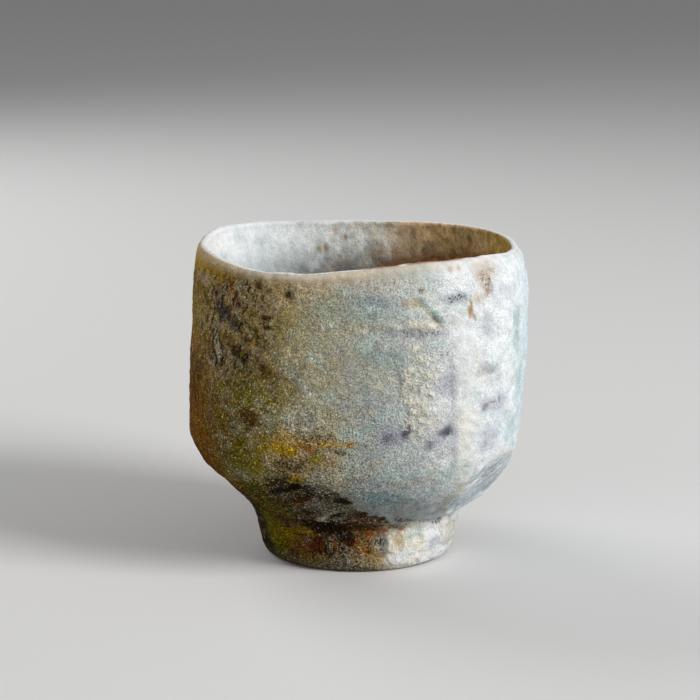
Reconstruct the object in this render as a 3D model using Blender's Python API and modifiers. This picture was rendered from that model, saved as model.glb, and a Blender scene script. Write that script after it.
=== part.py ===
"""Sake cup: a squeezed stoneware bowl standing on a separately formed foot ring.

Metres, +Z up. The cup rests on z = 0 on its axis, with its front towards -Y.
The bowl is thrown as a turned shape and then worked as soft clay: squeezed to a rounded
square, its lip drawn into low waves and curled in, and one low corner cut with a knife.
"""
import bisect
import math

import bpy

MM = 0.001
TURN_STEPS = 64
MERGE_DISTANCE = 0.00001
SHARP_ANGLE = 40.0

# Fired finishes: colour and roughness
GLAZE_COLOUR = (0.52, 0.50, 0.44)
GLAZE_ROUGHNESS = 0.55
CLAY_COLOUR = (0.30, 0.25, 0.16)
CLAY_ROUGHNESS = 0.7

# Foot ring, in millimetres
FOOT_HEIGHT = 10.2
FOOT_TOP_RADIUS = 19.9
FOOT_BASE_RADIUS = 18.7
FOOT_EDGE_ROUND = 2.3
FOOT_BORE_TOP = 14.4
FOOT_BORE_BASE = 13.5
FOOT_BORE_ROUND = 0.8
FOOT_FLARE = 0.8
FOOT_FLARE_SIDE = 180.0
FOOT_FLARE_SPREAD = 55.0
FOOT_FLARE_POWER = 3
FOOT_SIDE_LEVELS = (0.75, 0.5, 0.3)

# Bowl, in millimetres
LUTING_GAP = 0.3
SEAT_HEIGHT = FOOT_HEIGHT + LUTING_GAP
SEAT_INNER_RADIUS = 13.8
BELLY_DROP = 1.6
CUP_HEIGHT = 59.5
BOWL_FLOOR = 14.6
BOWL_TURN = 28.0
BOWL_ROUNDNESS = 2.6
WALL_LOW = 3.7
WALL_HIGH = 3.2
LIP_THICKNESS = 1.9
LIP_DEPTH = 7.0
LIP_CURL = 0.8
LIP_CURL_POWER = 2.2

# Outer side outlines as (height, reach from the axis), in millimetres
FRONT_SIDE = (
    (10.2, 20.8), (13.0, 24.2), (17.0, 28.4), (22.0, 30.9), (28.0, 31.6), (40.0, 31.3), (60.0, 30.5))
LEFT_SIDE = (
    (10.2, 21.3), (12.0, 22.8), (16.0, 26.6), (20.0, 30.4), (25.5, 32.25), (40.0, 31.75), (60.0, 30.8))
RIGHT_SIDE = (
    (10.2, 23.8), (13.0, 26.8), (17.0, 29.0), (22.0, 29.9), (32.0, 31.4), (44.0, 32.1), (60.0, 31.7))

# Hand marks as (direction in degrees from +X, spread in degrees, amount)
ROUND = 2.0
CORNER_BASE = 2.35
CORNERS = ((-45.0, 40.0, 0.55), (-135.0, 40.0, 0.35), (135.0, 40.0, 0.85), (45.0, 40.0, 0.3))
CORNER_START = 14.0
LIP_START = 44.0
LIP_EASE = ((-140.0, 30.0, 0.4), (-45.0, 35.0, 0.6))
LIP_WAVES = (
    (-55.0, 32.0, 1.0), (-115.0, 30.0, -1.2), (-165.0, 22.0, 0.8), (145.0, 35.0, 0.6), (75.0, 40.0, 0.4))
CURL_SIDE = (10.0, 60.0, 0.7)
ARRIS = (-56.0, 7.0, 0.5)
ARRIS_FOOT = 16.0
ARRIS_HEAD = 50.0

# Knife cut above the foot: direction and lean in degrees, distance from the axis at the seam
CUT_DIRECTION = -26.0
CUT_LEAN = 40.0
CUT_DISTANCE = 21.7
CUT_SOFTNESS = 0.5
CUT_LEAST_FACING = 0.2

# Rings of the turned outlines
OUTER_RINGS = 22
INNER_RINGS = 11
FLOOR_RINGS = 7
ROUND_RINGS = 5
OUTER_CROWDING = 1.3


def clear_scene():
    for obj in list(bpy.data.objects):
        bpy.data.objects.remove(obj, do_unlink=True)


def clay(name, colour, roughness):
    """One fired-clay finish."""
    material = bpy.data.materials.new(name)
    material.use_nodes = True
    shader = material.node_tree.nodes["Principled BSDF"]
    shader.inputs["Base Color"].default_value = (*colour, 1.0)
    shader.inputs["Roughness"].default_value = roughness
    shader.inputs["Metallic"].default_value = 0.0
    return material


def smooth_outline(points):
    """A curve through (height, reach) points that never swings past them."""
    heights = [point[0] for point in points]
    reaches = [point[1] for point in points]
    spans = [high - low for low, high in zip(heights, heights[1:])]
    rises = [(reaches[i + 1] - reaches[i]) / span for i, span in enumerate(spans)]
    slopes = [rises[0]]
    for before, after in zip(rises, rises[1:]):
        turning = before * after <= 0.0
        slopes.append(0.0 if turning else 2.0 * before * after / (before + after))
    slopes.append(rises[-1])

    def reach_at(height):
        height = min(max(height, heights[0]), heights[-1])
        i = min(bisect.bisect_right(heights, height), len(spans)) - 1
        t = (height - heights[i]) / spans[i]
        near = (1.0 + 2.0 * t) * (1.0 - t) ** 2
        far = t * t * (3.0 - 2.0 * t)
        leave = t * (1.0 - t) ** 2 * spans[i]
        arrive = t * t * (t - 1.0) * spans[i]
        return near * reaches[i] + far * reaches[i + 1] + leave * slopes[i] + arrive * slopes[i + 1]

    return reach_at


front_reach = smooth_outline(FRONT_SIDE)
left_reach = smooth_outline(LEFT_SIDE)
right_reach = smooth_outline(RIGHT_SIDE)


def swell(angle, direction, spread):
    """1 in one direction, fading to 0 round the cup."""
    away = math.remainder(math.degrees(angle) - direction, 360.0)
    return math.exp(-((away / spread) ** 2))


def marks_sum(angle, marks):
    return sum(amount * swell(angle, direction, spread) for direction, spread, amount in marks)


def soft_min(a, b, softness):
    mix = min(max(0.5 + 0.5 * (b - a) / softness, 0.0), 1.0)
    return b * (1.0 - mix) + a * mix - softness * mix * (1.0 - mix)


def share(place, low, high):
    """0 up to the low end, 1 from the high end on."""
    return min(max((place - low) / (high - low), 0.0), 1.0)


def squeeze(angle, height):
    """How far the thrown circle is pushed in or out by the hands, as a ratio.

    The power runs from a circle above the foot to a rounded square, eased again at the lip.
    """
    side = right_reach(height) if math.cos(angle) > 0.0 else left_reach(height)
    front = front_reach(height)
    squareness = CORNER_BASE + marks_sum(angle, CORNERS) - ROUND
    power = ROUND + squareness * share(height, FOOT_HEIGHT, FOOT_HEIGHT + CORNER_START)
    power -= marks_sum(angle, LIP_EASE) * share(height, LIP_START, CUP_HEIGHT)
    across = (abs(math.cos(angle)) / side) ** power
    along = (abs(math.sin(angle)) / front) ** power
    return (across + along) ** (-1.0 / power) / front


def knife_reach(angle, height):
    """Distance from the axis to the flat left by the knife, or far outside the cup."""
    facing = math.cos(angle - math.radians(CUT_DIRECTION))
    if facing < CUT_LEAST_FACING:
        return 2.0 * CUP_HEIGHT
    lean = math.tan(math.radians(CUT_LEAN))
    return (CUT_DISTANCE + (height - FOOT_HEIGHT) * lean) / facing


def arris_reach(angle, height):
    """Height of the edge pinched up the front right corner."""
    return marks_sum(angle, (ARRIS,)) * math.sin(math.pi * share(height, ARRIS_FOOT, ARRIS_HEAD))


def work_bowl(radius, angle, height):
    """Move one point of the thrown bowl to its place on the squeezed, cut and curled one."""
    radius = radius * squeeze(angle, height) + arris_reach(angle, height) * min(radius / WALL_LOW, 1.0)
    radius = soft_min(radius, knife_reach(angle, height), CUT_SOFTNESS)
    top = share(height, CUP_HEIGHT - LIP_DEPTH, CUP_HEIGHT)
    radius -= (LIP_CURL + marks_sum(angle, (CURL_SIDE,))) * top ** LIP_CURL_POWER
    rise = share(height, LIP_START, CUP_HEIGHT)
    return radius, height + marks_sum(angle, LIP_WAVES) * rise * rise


def work_foot(radius, angle, height):
    """Spread the top of the ring a little where it was smeared into the bowl."""
    spread = swell(angle, FOOT_FLARE_SIDE, FOOT_FLARE_SPREAD)
    outer = share(radius, FOOT_BORE_TOP, FOOT_TOP_RADIUS)
    return radius + FOOT_FLARE * spread * outer * (height / FOOT_HEIGHT) ** FOOT_FLARE_POWER, height


def bowl_profile():
    """Outline of the thrown bowl, from the floor inside, over the lip and down to the seat."""
    lip_round = LIP_THICKNESS / 2.0
    lip_base = CUP_HEIGHT - lip_round
    lip_middle = front_reach(CUP_HEIGHT) - lip_round
    turn_radius = front_reach(BOWL_TURN) - WALL_LOW
    points = [(0.0, BOWL_FLOOR)]
    for i in range(1, FLOOR_RINGS + 1):
        lean = math.radians(90.0 * i / FLOOR_RINGS)
        out = math.sin(lean) ** (2.0 / BOWL_ROUNDNESS)
        down = math.cos(lean) ** (2.0 / BOWL_ROUNDNESS)
        points.append((turn_radius * out, BOWL_TURN - (BOWL_TURN - BOWL_FLOOR) * down))
    for i in range(1, INNER_RINGS + 1):
        t = i / INNER_RINGS
        height = BOWL_TURN + (lip_base - BOWL_TURN) * t
        wall = WALL_LOW + (WALL_HIGH - WALL_LOW) * t
        thin = max(0.0, 1.0 - (lip_base - height) / LIP_DEPTH) ** 2
        wall += (LIP_THICKNESS - wall) * thin
        points.append((front_reach(height) - wall, height))
    for i in range(1, ROUND_RINGS):
        lean = math.radians(180.0 * i / ROUND_RINGS)
        points.append((lip_middle - lip_round * math.cos(lean), lip_base + lip_round * math.sin(lean)))
    for i in range(OUTER_RINGS, -1, -1):
        height = SEAT_HEIGHT + (lip_base - SEAT_HEIGHT) * (i / OUTER_RINGS) ** OUTER_CROWDING
        points.append((front_reach(height), height))
    points.append((SEAT_INNER_RADIUS, SEAT_HEIGHT))
    for i in range(1, ROUND_RINGS):
        out = 1.0 - i / ROUND_RINGS
        points.append((SEAT_INNER_RADIUS * out, SEAT_HEIGHT - BELLY_DROP * (1.0 - out * out)))
    points.append((0.0, SEAT_HEIGHT - BELLY_DROP))
    return points


def foot_profile():
    """Closed section of the ring: flat top, tapered outside, rounded edges at the base."""
    points = [(FOOT_BORE_TOP, FOOT_HEIGHT), (FOOT_TOP_RADIUS, FOOT_HEIGHT)]
    taper = FOOT_TOP_RADIUS - FOOT_BASE_RADIUS
    for level in FOOT_SIDE_LEVELS:
        points.append((FOOT_BASE_RADIUS + taper * level, FOOT_HEIGHT * level))
    for i in range(ROUND_RINGS + 1):
        lean = math.radians(90.0 * i / ROUND_RINGS)
        out = FOOT_EDGE_ROUND * (1.0 - math.cos(lean))
        points.append((FOOT_BASE_RADIUS - out, FOOT_EDGE_ROUND * (1.0 - math.sin(lean))))
    for i in range(ROUND_RINGS):
        lean = math.radians(90.0 * i / ROUND_RINGS)
        back = FOOT_BORE_ROUND * (1.0 - math.sin(lean))
        points.append((FOOT_BORE_BASE + back, FOOT_BORE_ROUND * (1.0 - math.cos(lean))))
    points.append((FOOT_BORE_BASE, FOOT_BORE_ROUND))
    return points


def turned(name, points, closed):
    """Turn a section about +Z with a Screw modifier and return the finished mesh."""
    mesh = bpy.data.meshes.new(name + "_section")
    edges = [(i, i + 1) for i in range(len(points) - 1)]
    if closed:
        edges.append((len(points) - 1, 0))
    mesh.from_pydata([(radius * MM, 0.0, height * MM) for radius, height in points], edges, [])
    section = bpy.data.objects.new(name + "_section", mesh)
    bpy.context.scene.collection.objects.link(section)
    screw = section.modifiers.new("turn", "SCREW")
    screw.axis = "Z"
    screw.angle = math.tau
    screw.steps = TURN_STEPS
    screw.render_steps = TURN_STEPS
    screw.use_merge_vertices = True
    screw.merge_threshold = MERGE_DISTANCE
    graph = bpy.context.evaluated_depsgraph_get()
    graph.update()
    result = bpy.data.meshes.new_from_object(section.evaluated_get(graph))
    bpy.data.objects.remove(section, do_unlink=True)
    return result


def add_piece(collection, name, mesh, work, material):
    """Work the turned clay by hand and add it as one named piece."""
    for vertex in mesh.vertices:
        x, y, z = vertex.co / MM
        radius = math.hypot(x, y)
        angle = math.atan2(y, x)
        radius, height = work(radius, angle, z)
        vertex.co = (radius * math.cos(angle) * MM, radius * math.sin(angle) * MM, height * MM)
    mesh.name = name
    mesh.materials.clear()
    mesh.materials.append(material)
    mesh.shade_smooth()
    mesh.set_sharp_from_angle(angle=math.radians(SHARP_ANGLE))
    piece = bpy.data.objects.new(name, mesh)
    collection.objects.link(piece)
    return piece


def main():
    clear_scene()
    cup = bpy.data.collections.new("sake_cup")
    bpy.context.scene.collection.children.link(cup)
    ash_glaze = clay("ash_glaze", GLAZE_COLOUR, GLAZE_ROUGHNESS)
    scorched_clay = clay("scorched_clay", CLAY_COLOUR, CLAY_ROUGHNESS)
    add_piece(cup, "cup_body", turned("cup_body", bowl_profile(), False), work_bowl, ash_glaze)
    add_piece(cup, "foot_ring", turned("foot_ring", foot_profile(), True), work_foot, scorched_clay)


main()
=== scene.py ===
import math

import bmesh
import bpy
import numpy as np
from mathutils import Matrix, Vector, noise


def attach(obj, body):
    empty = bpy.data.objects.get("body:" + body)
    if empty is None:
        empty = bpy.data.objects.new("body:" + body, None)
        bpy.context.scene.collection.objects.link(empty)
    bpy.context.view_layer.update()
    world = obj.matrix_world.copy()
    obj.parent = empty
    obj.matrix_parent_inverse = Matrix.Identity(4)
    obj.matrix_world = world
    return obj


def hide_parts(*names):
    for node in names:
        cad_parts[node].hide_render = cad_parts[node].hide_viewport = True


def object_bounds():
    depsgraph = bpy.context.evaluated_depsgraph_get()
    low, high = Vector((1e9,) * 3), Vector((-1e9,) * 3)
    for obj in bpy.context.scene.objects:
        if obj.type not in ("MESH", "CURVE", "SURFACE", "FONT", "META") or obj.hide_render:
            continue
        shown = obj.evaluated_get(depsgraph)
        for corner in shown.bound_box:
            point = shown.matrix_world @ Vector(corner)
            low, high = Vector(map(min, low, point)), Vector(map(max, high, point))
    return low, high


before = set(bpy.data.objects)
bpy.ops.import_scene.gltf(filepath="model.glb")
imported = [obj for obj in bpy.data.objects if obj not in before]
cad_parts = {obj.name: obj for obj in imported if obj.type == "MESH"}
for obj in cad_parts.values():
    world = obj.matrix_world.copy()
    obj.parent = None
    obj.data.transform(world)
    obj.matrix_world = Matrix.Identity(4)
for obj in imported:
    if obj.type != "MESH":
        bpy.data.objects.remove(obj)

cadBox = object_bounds()
mm = 0.001
print("frame loaded:", sorted(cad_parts))


# small helpers for curves, masks and noise; angles in degrees from +X, lengths in mm
def wrap(angle):
    return (angle + 180.0) % 360.0 - 180.0


def fade(value, low, high):
    t = np.clip((value - low) / (high - low), 0.0, 1.0)
    return t * t * (3.0 - 2.0 * t)


def band(value, middle, spread):  # 1 at the middle, nearly gone two spreads away
    return np.exp(-((value - middle) / spread) ** 2)


def swell(angle, direction, spread):
    return band(wrap(angle - direction), 0.0, spread)


def swellSum(angle, marks):
    return sum(amount * swell(angle, direction, spread) for direction, spread, amount in marks)


def alongBelt(angle, stops):  # numbers met one after another on the way round the cup
    return np.interp(angle, *zip(*stops), period=360.0)


def sideReach(outline, height):  # smooth curve through (height, reach) points
    heights, reaches = np.array(outline).T
    spans = np.diff(heights)
    rises = np.diff(reaches) / spans
    product = rises[:-1] * rises[1:]
    total = np.where(product > 0.0, rises[:-1] + rises[1:], 1.0)
    inner = np.where(product > 0.0, 2.0 * product / total, 0.0)
    slopes = np.concatenate((rises[:1], inner, rises[-1:]))
    height = np.clip(height, heights[0], heights[-1])
    i = np.clip(np.searchsorted(heights, height, side="right") - 1, 0, len(spans) - 1)
    t = (height - heights[i]) / spans[i]
    ends = (1.0 + 2.0 * t) * (1.0 - t) ** 2 * reaches[i] + t * t * (3.0 - 2.0 * t) * reaches[i + 1]
    leave = t * (1.0 - t) ** 2 * spans[i] * slopes[i]
    arrive = t * t * (t - 1.0) * spans[i] * slopes[i + 1]
    return ends + leave + arrive


def softMin(a, b, softness):
    mix = np.clip(0.5 + 0.5 * (b - a) / softness, 0.0, 1.0)
    return b * (1.0 - mix) + a * mix - softness * mix * (1.0 - mix)


def lumps(points, size, shift=0.0):  # smooth noise, about -1 to 1, with lumps of this size
    scaled = points / size + shift
    return np.array([noise.noise(Vector(point)) for point in scaled.tolist()]) * 1.6


def crumbs(points, size, shift=0.0, octaves=4):  # rougher noise, about -1 to 1
    fall = 0.6  # how fast its octaves weaken
    finer = 2.1  # how much finer each one is
    scaled = points / size + shift
    return np.array([noise.fractal(Vector(point), fall, finer, octaves) for point in scaled.tolist()])


def lumpSum(points, layers):  # layers of rougher noise, each as (depth, size, shift, octaves)
    return sum(depth * crumbs(points, size, shift, octaves) for depth, size, shift, octaves in layers)


def linear(tint):  # 0-255 screen colour to scene-linear
    level = np.array(tint) / 255.0
    return np.where(level <= 0.04045, level / 12.92, ((level + 0.055) / 1.055) ** 2.4)


# fired colours of clay and ash, as 0-255 screen values
glazes = dict(
    ash=(180, 185, 178), pale=(206, 211, 206), beige=(190, 172, 138), bone=(222, 214, 190),
    cream=(238, 232, 212), snow=(238, 241, 242), ice=(198, 222, 229), teal=(124, 164, 162),
    mint=(178, 208, 202), blueGrey=(138, 156, 164), slate=(84, 90, 98), lilac=(150, 148, 166),
    plum=(84, 80, 98), pinkish=(206, 182, 154), tan=(186, 150, 94), drab=(178, 172, 141),
    olive=(160, 141, 62), bark=(150, 119, 42), ochre=(158, 116, 26), amber=(130, 80, 4),
    umber=(78, 48, 6), rust=(160, 84, 18), redBrown=(88, 42, 8), scorch=(34, 23, 7),
    soot=(14, 12, 9), mustard=(182, 140, 4), moss=(120, 111, 8), darkOlive=(31, 27, 2),
    clay=(142, 108, 68), straw=(206, 168, 76), chalk=(250, 251, 252), sandy=(232, 194, 140))
glazes = {name: linear(tint) for name, tint in glazes.items()}

# how a patch lies: soft and ragged edge, share of its colour, flecks, clods, painted highlight specks, lift
# in mm, gloss
manners = dict(
    wash=dict(soft=0.75, rag=0.35),
    cloud=dict(soft=0.6, rag=0.7),
    blot=dict(soft=0.3, rag=0.6, lift=-0.03),
    spatter=dict(soft=0.6, rag=0.6, body=0.3, dark=1.0),
    speckle=dict(soft=0.6, rag=0.6, body=0.1, dark=0.6),
    sprinkle=dict(soft=0.6, rag=0.6, body=0.3, clods=0.7),
    dot=dict(soft=0.4, rag=0.15),
    pit=dict(soft=0.45, rag=0.2, lift=-0.25),
    slab=dict(soft=0.12, rag=0.35, lift=0.22),
    ridge=dict(soft=0.6, rag=0.4, lift=0.18),
    groove=dict(soft=0.6, rag=0.35, lift=-0.28),
    gouge=dict(soft=0.7, rag=0.5, lift=-0.34),
    berm=dict(soft=0.6, rag=0.7, lift=0.26),
    glassy=dict(soft=0.6, rag=0.6, lift=0.05, gloss=0.6, paintedGlints=0.6),
    # a painted highlight: a white dot for light glinting off the glaze
    glint=dict(soft=0.5, rag=0.0, lift=0.08, gloss=0.9))


class Surface:  # the points of one piece, in mm, with the fields its paint and relief read
    layers = ("gloss", "dark", "paintedGlints", "clods", "crust", "veins")
    ragNoise = (3.2, 31.0)  # frays the edges of patches: size in mm, shift and any octaves
    driftNoise = (11.0, 27.0, 3)  # bends the belts
    driftTurn = 7.0  # degrees that it bends them
    grainSpan = (0.08, 0.42)  # noise levels between which a grain of a medley shows

    def __init__(self, mesh, reach):
        self.mesh = mesh
        self.arc = math.radians(reach)  # mm along a wall of this radius for one degree
        flat = np.empty(len(mesh.vertices) * 3)
        mesh.vertices.foreach_get("co", flat)
        self.points = flat.reshape(-1, 3) / mm
        self.radius = np.hypot(self.points[:, 0], self.points[:, 1])
        self.angle = np.degrees(np.arctan2(self.points[:, 1], self.points[:, 0]))
        self.height = self.points[:, 2].copy()

    def writePoints(self, points):
        self.points = points
        self.mesh.vertices.foreach_set("co", (points * mm).ravel())
        self.mesh.update()

    def pushed(self, relief):  # the points moved along their normals
        flat = np.empty(len(self.mesh.vertices) * 3, np.float32)
        self.mesh.vertex_normals.foreach_get("vector", flat)
        return self.points + flat.reshape(-1, 3).astype(float) * relief[:, None]

    def zone(self, direction, spread, rise=None, fall=None):  # round a direction, between two heights
        mask = swell(self.angle, direction, spread)
        if rise:
            mask = mask * fade(self.height, *rise)
        if fall:
            mask = mask * (1.0 - fade(self.height, *fall))
        return mask

    def startPaint(self, belt):
        count = len(self.points)
        self.ragged = crumbs(self.points, *self.ragNoise)
        self.drift = crumbs(self.points, *self.driftNoise)
        self.lift = np.zeros(count)
        self.fields = {name: np.zeros(count) for name in self.layers}
        self.paint = self.beltTint(belt)

    def beltTint(self, belt):  # glazes met one after another on the way round the cup
        stops = [stop[0] for stop in belt]
        tints = np.array([glazes[stop[1]] for stop in belt])
        angle = self.angle + self.driftTurn * self.drift
        return np.stack([np.interp(angle, stops, tints[:, i], period=360.0) for i in range(3)], axis=1)

    def tone(self, tint, cover, mask):
        self.paint += (glazes[tint] - self.paint) * np.clip(cover * mask, 0.0, 1.0)[:, None]

    def medley(self, mask, grains):  # grains of several glazes, each as (glaze, cover, size, shift)
        here = np.flatnonzero(mask > 0.01)
        for tint, cover, size, shift in grains:
            grain = fade(crumbs(self.points[here], size, shift, 2), *self.grainSpan)
            self.paint[here] += (glazes[tint] - self.paint[here]) * (cover * mask[here] * grain)[:, None]

    def addField(self, name, values):  # where they are stronger than what is there
        self.fields[name] = np.maximum(self.fields[name], values)

    def patch(self, manner, tint, cover, at, size, tilt=0.0, only=1.0):
        way = manners[manner]
        across = wrap(self.angle - at[0]) * self.arc
        up = self.height - at[1]
        lean = math.radians(tilt)  # a positive tilt leans the top of the patch towards +angle
        wide = (across * math.cos(lean) - up * math.sin(lean)) / size[0]
        tall = (across * math.sin(lean) + up * math.cos(lean)) / size[1]
        edge = np.hypot(wide, tall) + way["rag"] * self.ragged
        mask = (1.0 - fade(edge, 1.0 - way["soft"], 1.0 + way["soft"])) * only
        self.tone(tint, cover * way.get("body", 1.0), mask)
        self.lift += way.get("lift", 0.0) * mask
        for name in self.layers:
            if name in way:
                self.addField(name, way[name] * cover * mask)

    def streak(self, manner, tint, cover, start, end, width, only=1.0):
        across = wrap(end[0] - start[0]) * self.arc
        up = end[1] - start[1]
        middle = (start[0] + wrap(end[0] - start[0]) / 2.0, (start[1] + end[1]) / 2.0)
        tilt = math.degrees(math.atan2(across, up))
        self.patch(manner, tint, cover, middle, (width, math.hypot(across, up) / 2.0), tilt, only)

    def layMarks(self, marks, only):
        for manner, tint, cover, *place in marks:
            self.patch(manner, tint, cover, *place, only=only)

    def shadePaint(self, mottle, depth):  # a little lighter and darker all over
        grain = np.clip(crumbs(self.points, *mottle), -1.0, 1.0)
        self.paint *= (1.0 + depth * grain)[:, None]

    def storePaint(self, grit):
        colour = np.ones((len(self.points), 4), np.float32)
        colour[:, :3] = np.clip(self.paint, 0.0, 1.0)
        layer = self.mesh.attributes.new("glaze", "FLOAT_COLOR", "POINT")
        layer.data.foreach_set("color", colour.ravel())
        for name, values in dict(self.fields, grit=grit).items():
            layer = self.mesh.attributes.new(name, "FLOAT", "POINT")
            layer.data.foreach_set("value", np.clip(values, 0.0, 1.0).astype(np.float32))


def spinShell(name, outline, steps, closed):  # turn an outline of (radius, height) about the axis
    shell = bmesh.new()
    verts = [shell.verts.new((radius * mm, 0.0, height * mm)) for radius, height in outline]
    pairs = list(zip(verts, verts[1:]))
    if closed:
        pairs.append((verts[-1], verts[0]))
    edges = [shell.edges.new(pair) for pair in pairs]
    bmesh.ops.spin(shell, geom=verts + edges, cent=(0, 0, 0), axis=(0, 0, 1),
                   angle=math.tau, steps=steps, use_merge=True)
    bmesh.ops.remove_doubles(shell, verts=shell.verts, dist=1e-7)
    bmesh.ops.recalc_face_normals(shell, faces=shell.faces)
    for face in shell.faces:
        face.smooth = True
    mesh = bpy.data.meshes.new(name)
    shell.to_mesh(mesh)
    shell.free()
    return mesh


def addPiece(mesh, material, node):
    mesh.materials.append(material)
    piece = bpy.data.objects.new(mesh.name, mesh)
    bpy.context.scene.collection.objects.link(piece)
    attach(piece, "root")
    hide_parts(node)
    return piece


# the bowl: thrown round, then squeezed, cut and curled; sizes in mm, directions in degrees
bowl = dict(
    seat=10.5, seatInner=13.8, bellyDrop=1.6, top=59.5, floor=14.6, turn=28.0, roundness=2.6,
    wallLow=3.7, wallHigh=3.2, lip=1.9, lipDepth=7.0,
    curl=0.8, curlPower=2.2, curlSide=(10.0, 60.0, 0.7),  # more of it on the right
    front=((10.2, 20.8), (13.0, 24.2), (17.0, 28.4), (22.0, 30.9), (28.0, 31.6),
           (40.0, 31.3), (60.0, 30.5)),  # (height, reach)
    left=((10.2, 21.3), (12.0, 22.8), (16.0, 26.6), (20.0, 30.4), (25.5, 32.25),
          (40.0, 31.75), (60.0, 30.8)),
    right=((10.2, 23.8), (13.0, 26.8), (17.0, 29.0), (22.0, 29.9), (32.0, 31.4),
           (44.0, 32.1), (60.0, 31.7)),
    footTop=10.2, cornerStart=14.0, cornerBase=2.35,
    corners=((-45.0, 40.0, 0.55), (-135.0, 40.0, 0.35), (135.0, 40.0, 0.85), (45.0, 40.0, 0.3)),
    lipStart=44.0, lipEase=((-140.0, 30.0, 0.4), (-45.0, 35.0, 0.6)),
    waves=((-55.0, 32.0, 1.0), (-115.0, 30.0, -1.2), (-165.0, 22.0, 0.8),
           (145.0, 35.0, 0.6), (75.0, 40.0, 0.4)),  # (direction, spread, rise) of the lip
    arris=(-56.0, 7.0, 0.5), arrisFoot=16.0, arrisHead=50.0,
    cutDirection=-26.0, cutLean=40.0, cutDistance=21.7, cutSoftness=0.5, cutGlance=0.2,
    paintReach=31.0, steps=400, outerRings=136, outerBias=1.15, lipRings=12, innerRings=42,
    floorRings=42, underRings=7)


def bowlOutline():
    lipRound = bowl["lip"] / 2.0
    lipBase = bowl["top"] - lipRound
    lipMiddle = sideReach(bowl["front"], bowl["top"]) - lipRound
    turnRadius = sideReach(bowl["front"], bowl["turn"]) - bowl["wallLow"]
    power = 2.0 / bowl["roundness"]
    outline = [(0.0, bowl["floor"])]
    for i in range(1, bowl["floorRings"] + 1):
        lean = math.radians(90.0 * (i / bowl["floorRings"]) ** (1.0 / power))  # rings evenly apart
        drop = (bowl["turn"] - bowl["floor"]) * max(math.cos(lean), 0.0) ** power
        outline.append((turnRadius * math.sin(lean) ** power, bowl["turn"] - drop))
    for i in range(1, bowl["innerRings"] + 1):
        t = i / bowl["innerRings"]
        height = bowl["turn"] + (lipBase - bowl["turn"]) * t
        wall = bowl["wallLow"] + (bowl["wallHigh"] - bowl["wallLow"]) * t
        wall += (bowl["lip"] - wall) * max(0.0, 1.0 - (lipBase - height) / bowl["lipDepth"]) ** 2
        outline.append((sideReach(bowl["front"], height) - wall, height))
    for i in range(1, bowl["lipRings"]):
        lean = math.radians(180.0 * i / bowl["lipRings"])
        outline.append((lipMiddle - lipRound * math.cos(lean), lipBase + lipRound * math.sin(lean)))
    for i in range(bowl["outerRings"], -1, -1):
        height = bowl["seat"] + (lipBase - bowl["seat"]) * (i / bowl["outerRings"]) ** bowl["outerBias"]
        outline.append((sideReach(bowl["front"], height), height))
    for i in range(bowl["underRings"]):
        out = 1.0 - i / bowl["underRings"]
        outline.append((bowl["seatInner"] * out, bowl["seat"] - bowl["bellyDrop"] * (1.0 - out * out)))
    outline.append((0.0, bowl["seat"] - bowl["bellyDrop"]))
    return outline


def lipRise(height):
    return np.clip((height - bowl["lipStart"]) / (bowl["top"] - bowl["lipStart"]), 0.0, 1.0)


def squeezeRatio(angle, height):
    turn = np.radians(angle)
    right = sideReach(bowl["right"], height)
    side = np.where(np.cos(turn) > 0.0, right, sideReach(bowl["left"], height))
    front = sideReach(bowl["front"], height)
    hold = np.clip((height - bowl["footTop"]) / bowl["cornerStart"], 0.0, 1.0)
    power = 2.0 + (bowl["cornerBase"] + swellSum(angle, bowl["corners"]) - 2.0) * hold
    power = power - swellSum(angle, bowl["lipEase"]) * lipRise(height)
    across = (np.abs(np.cos(turn)) / side) ** power
    along = (np.abs(np.sin(turn)) / front) ** power
    return (across + along) ** (-1.0 / power) / front


def knifeReach(angle, height):
    facing = np.cos(np.radians(angle - bowl["cutDirection"]))
    glance = bowl["cutGlance"]  # walls turned further away than this are never met
    distance = bowl["cutDistance"] + (height - bowl["footTop"]) * math.tan(math.radians(bowl["cutLean"]))
    return np.where(facing > glance, distance / np.maximum(facing, glance), 2.0 * bowl["top"])


def workBowl(surface):
    radius, angle, height = surface.radius, surface.angle, surface.height
    surface.skin = sideReach(bowl["front"], height) - radius  # depth behind the outer wall
    along = np.clip((height - bowl["arrisFoot"]) / (bowl["arrisHead"] - bowl["arrisFoot"]), 0.0, 1.0)
    arris = swellSum(angle, (bowl["arris"],)) * np.sin(np.pi * along)
    radius = radius * squeezeRatio(angle, height) + arris * np.clip(radius / bowl["wallLow"], 0.0, 1.0)
    knife = knifeReach(angle, height)
    surface.cut = radius - knife  # above 0 where the knife took clay away
    radius = softMin(radius, knife, bowl["cutSoftness"])
    top = np.clip((height - bowl["top"] + bowl["lipDepth"]) / bowl["lipDepth"], 0.0, 1.0)
    radius = radius - (bowl["curl"] + swellSum(angle, (bowl["curlSide"],))) * top ** bowl["curlPower"]
    height = height + swellSum(angle, bowl["waves"]) * lipRise(height) ** 2
    turn = np.radians(angle)
    surface.thrown, surface.height = surface.height, height
    surface.writePoints(np.stack((radius * np.cos(turn), radius * np.sin(turn), height), axis=1))


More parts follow.
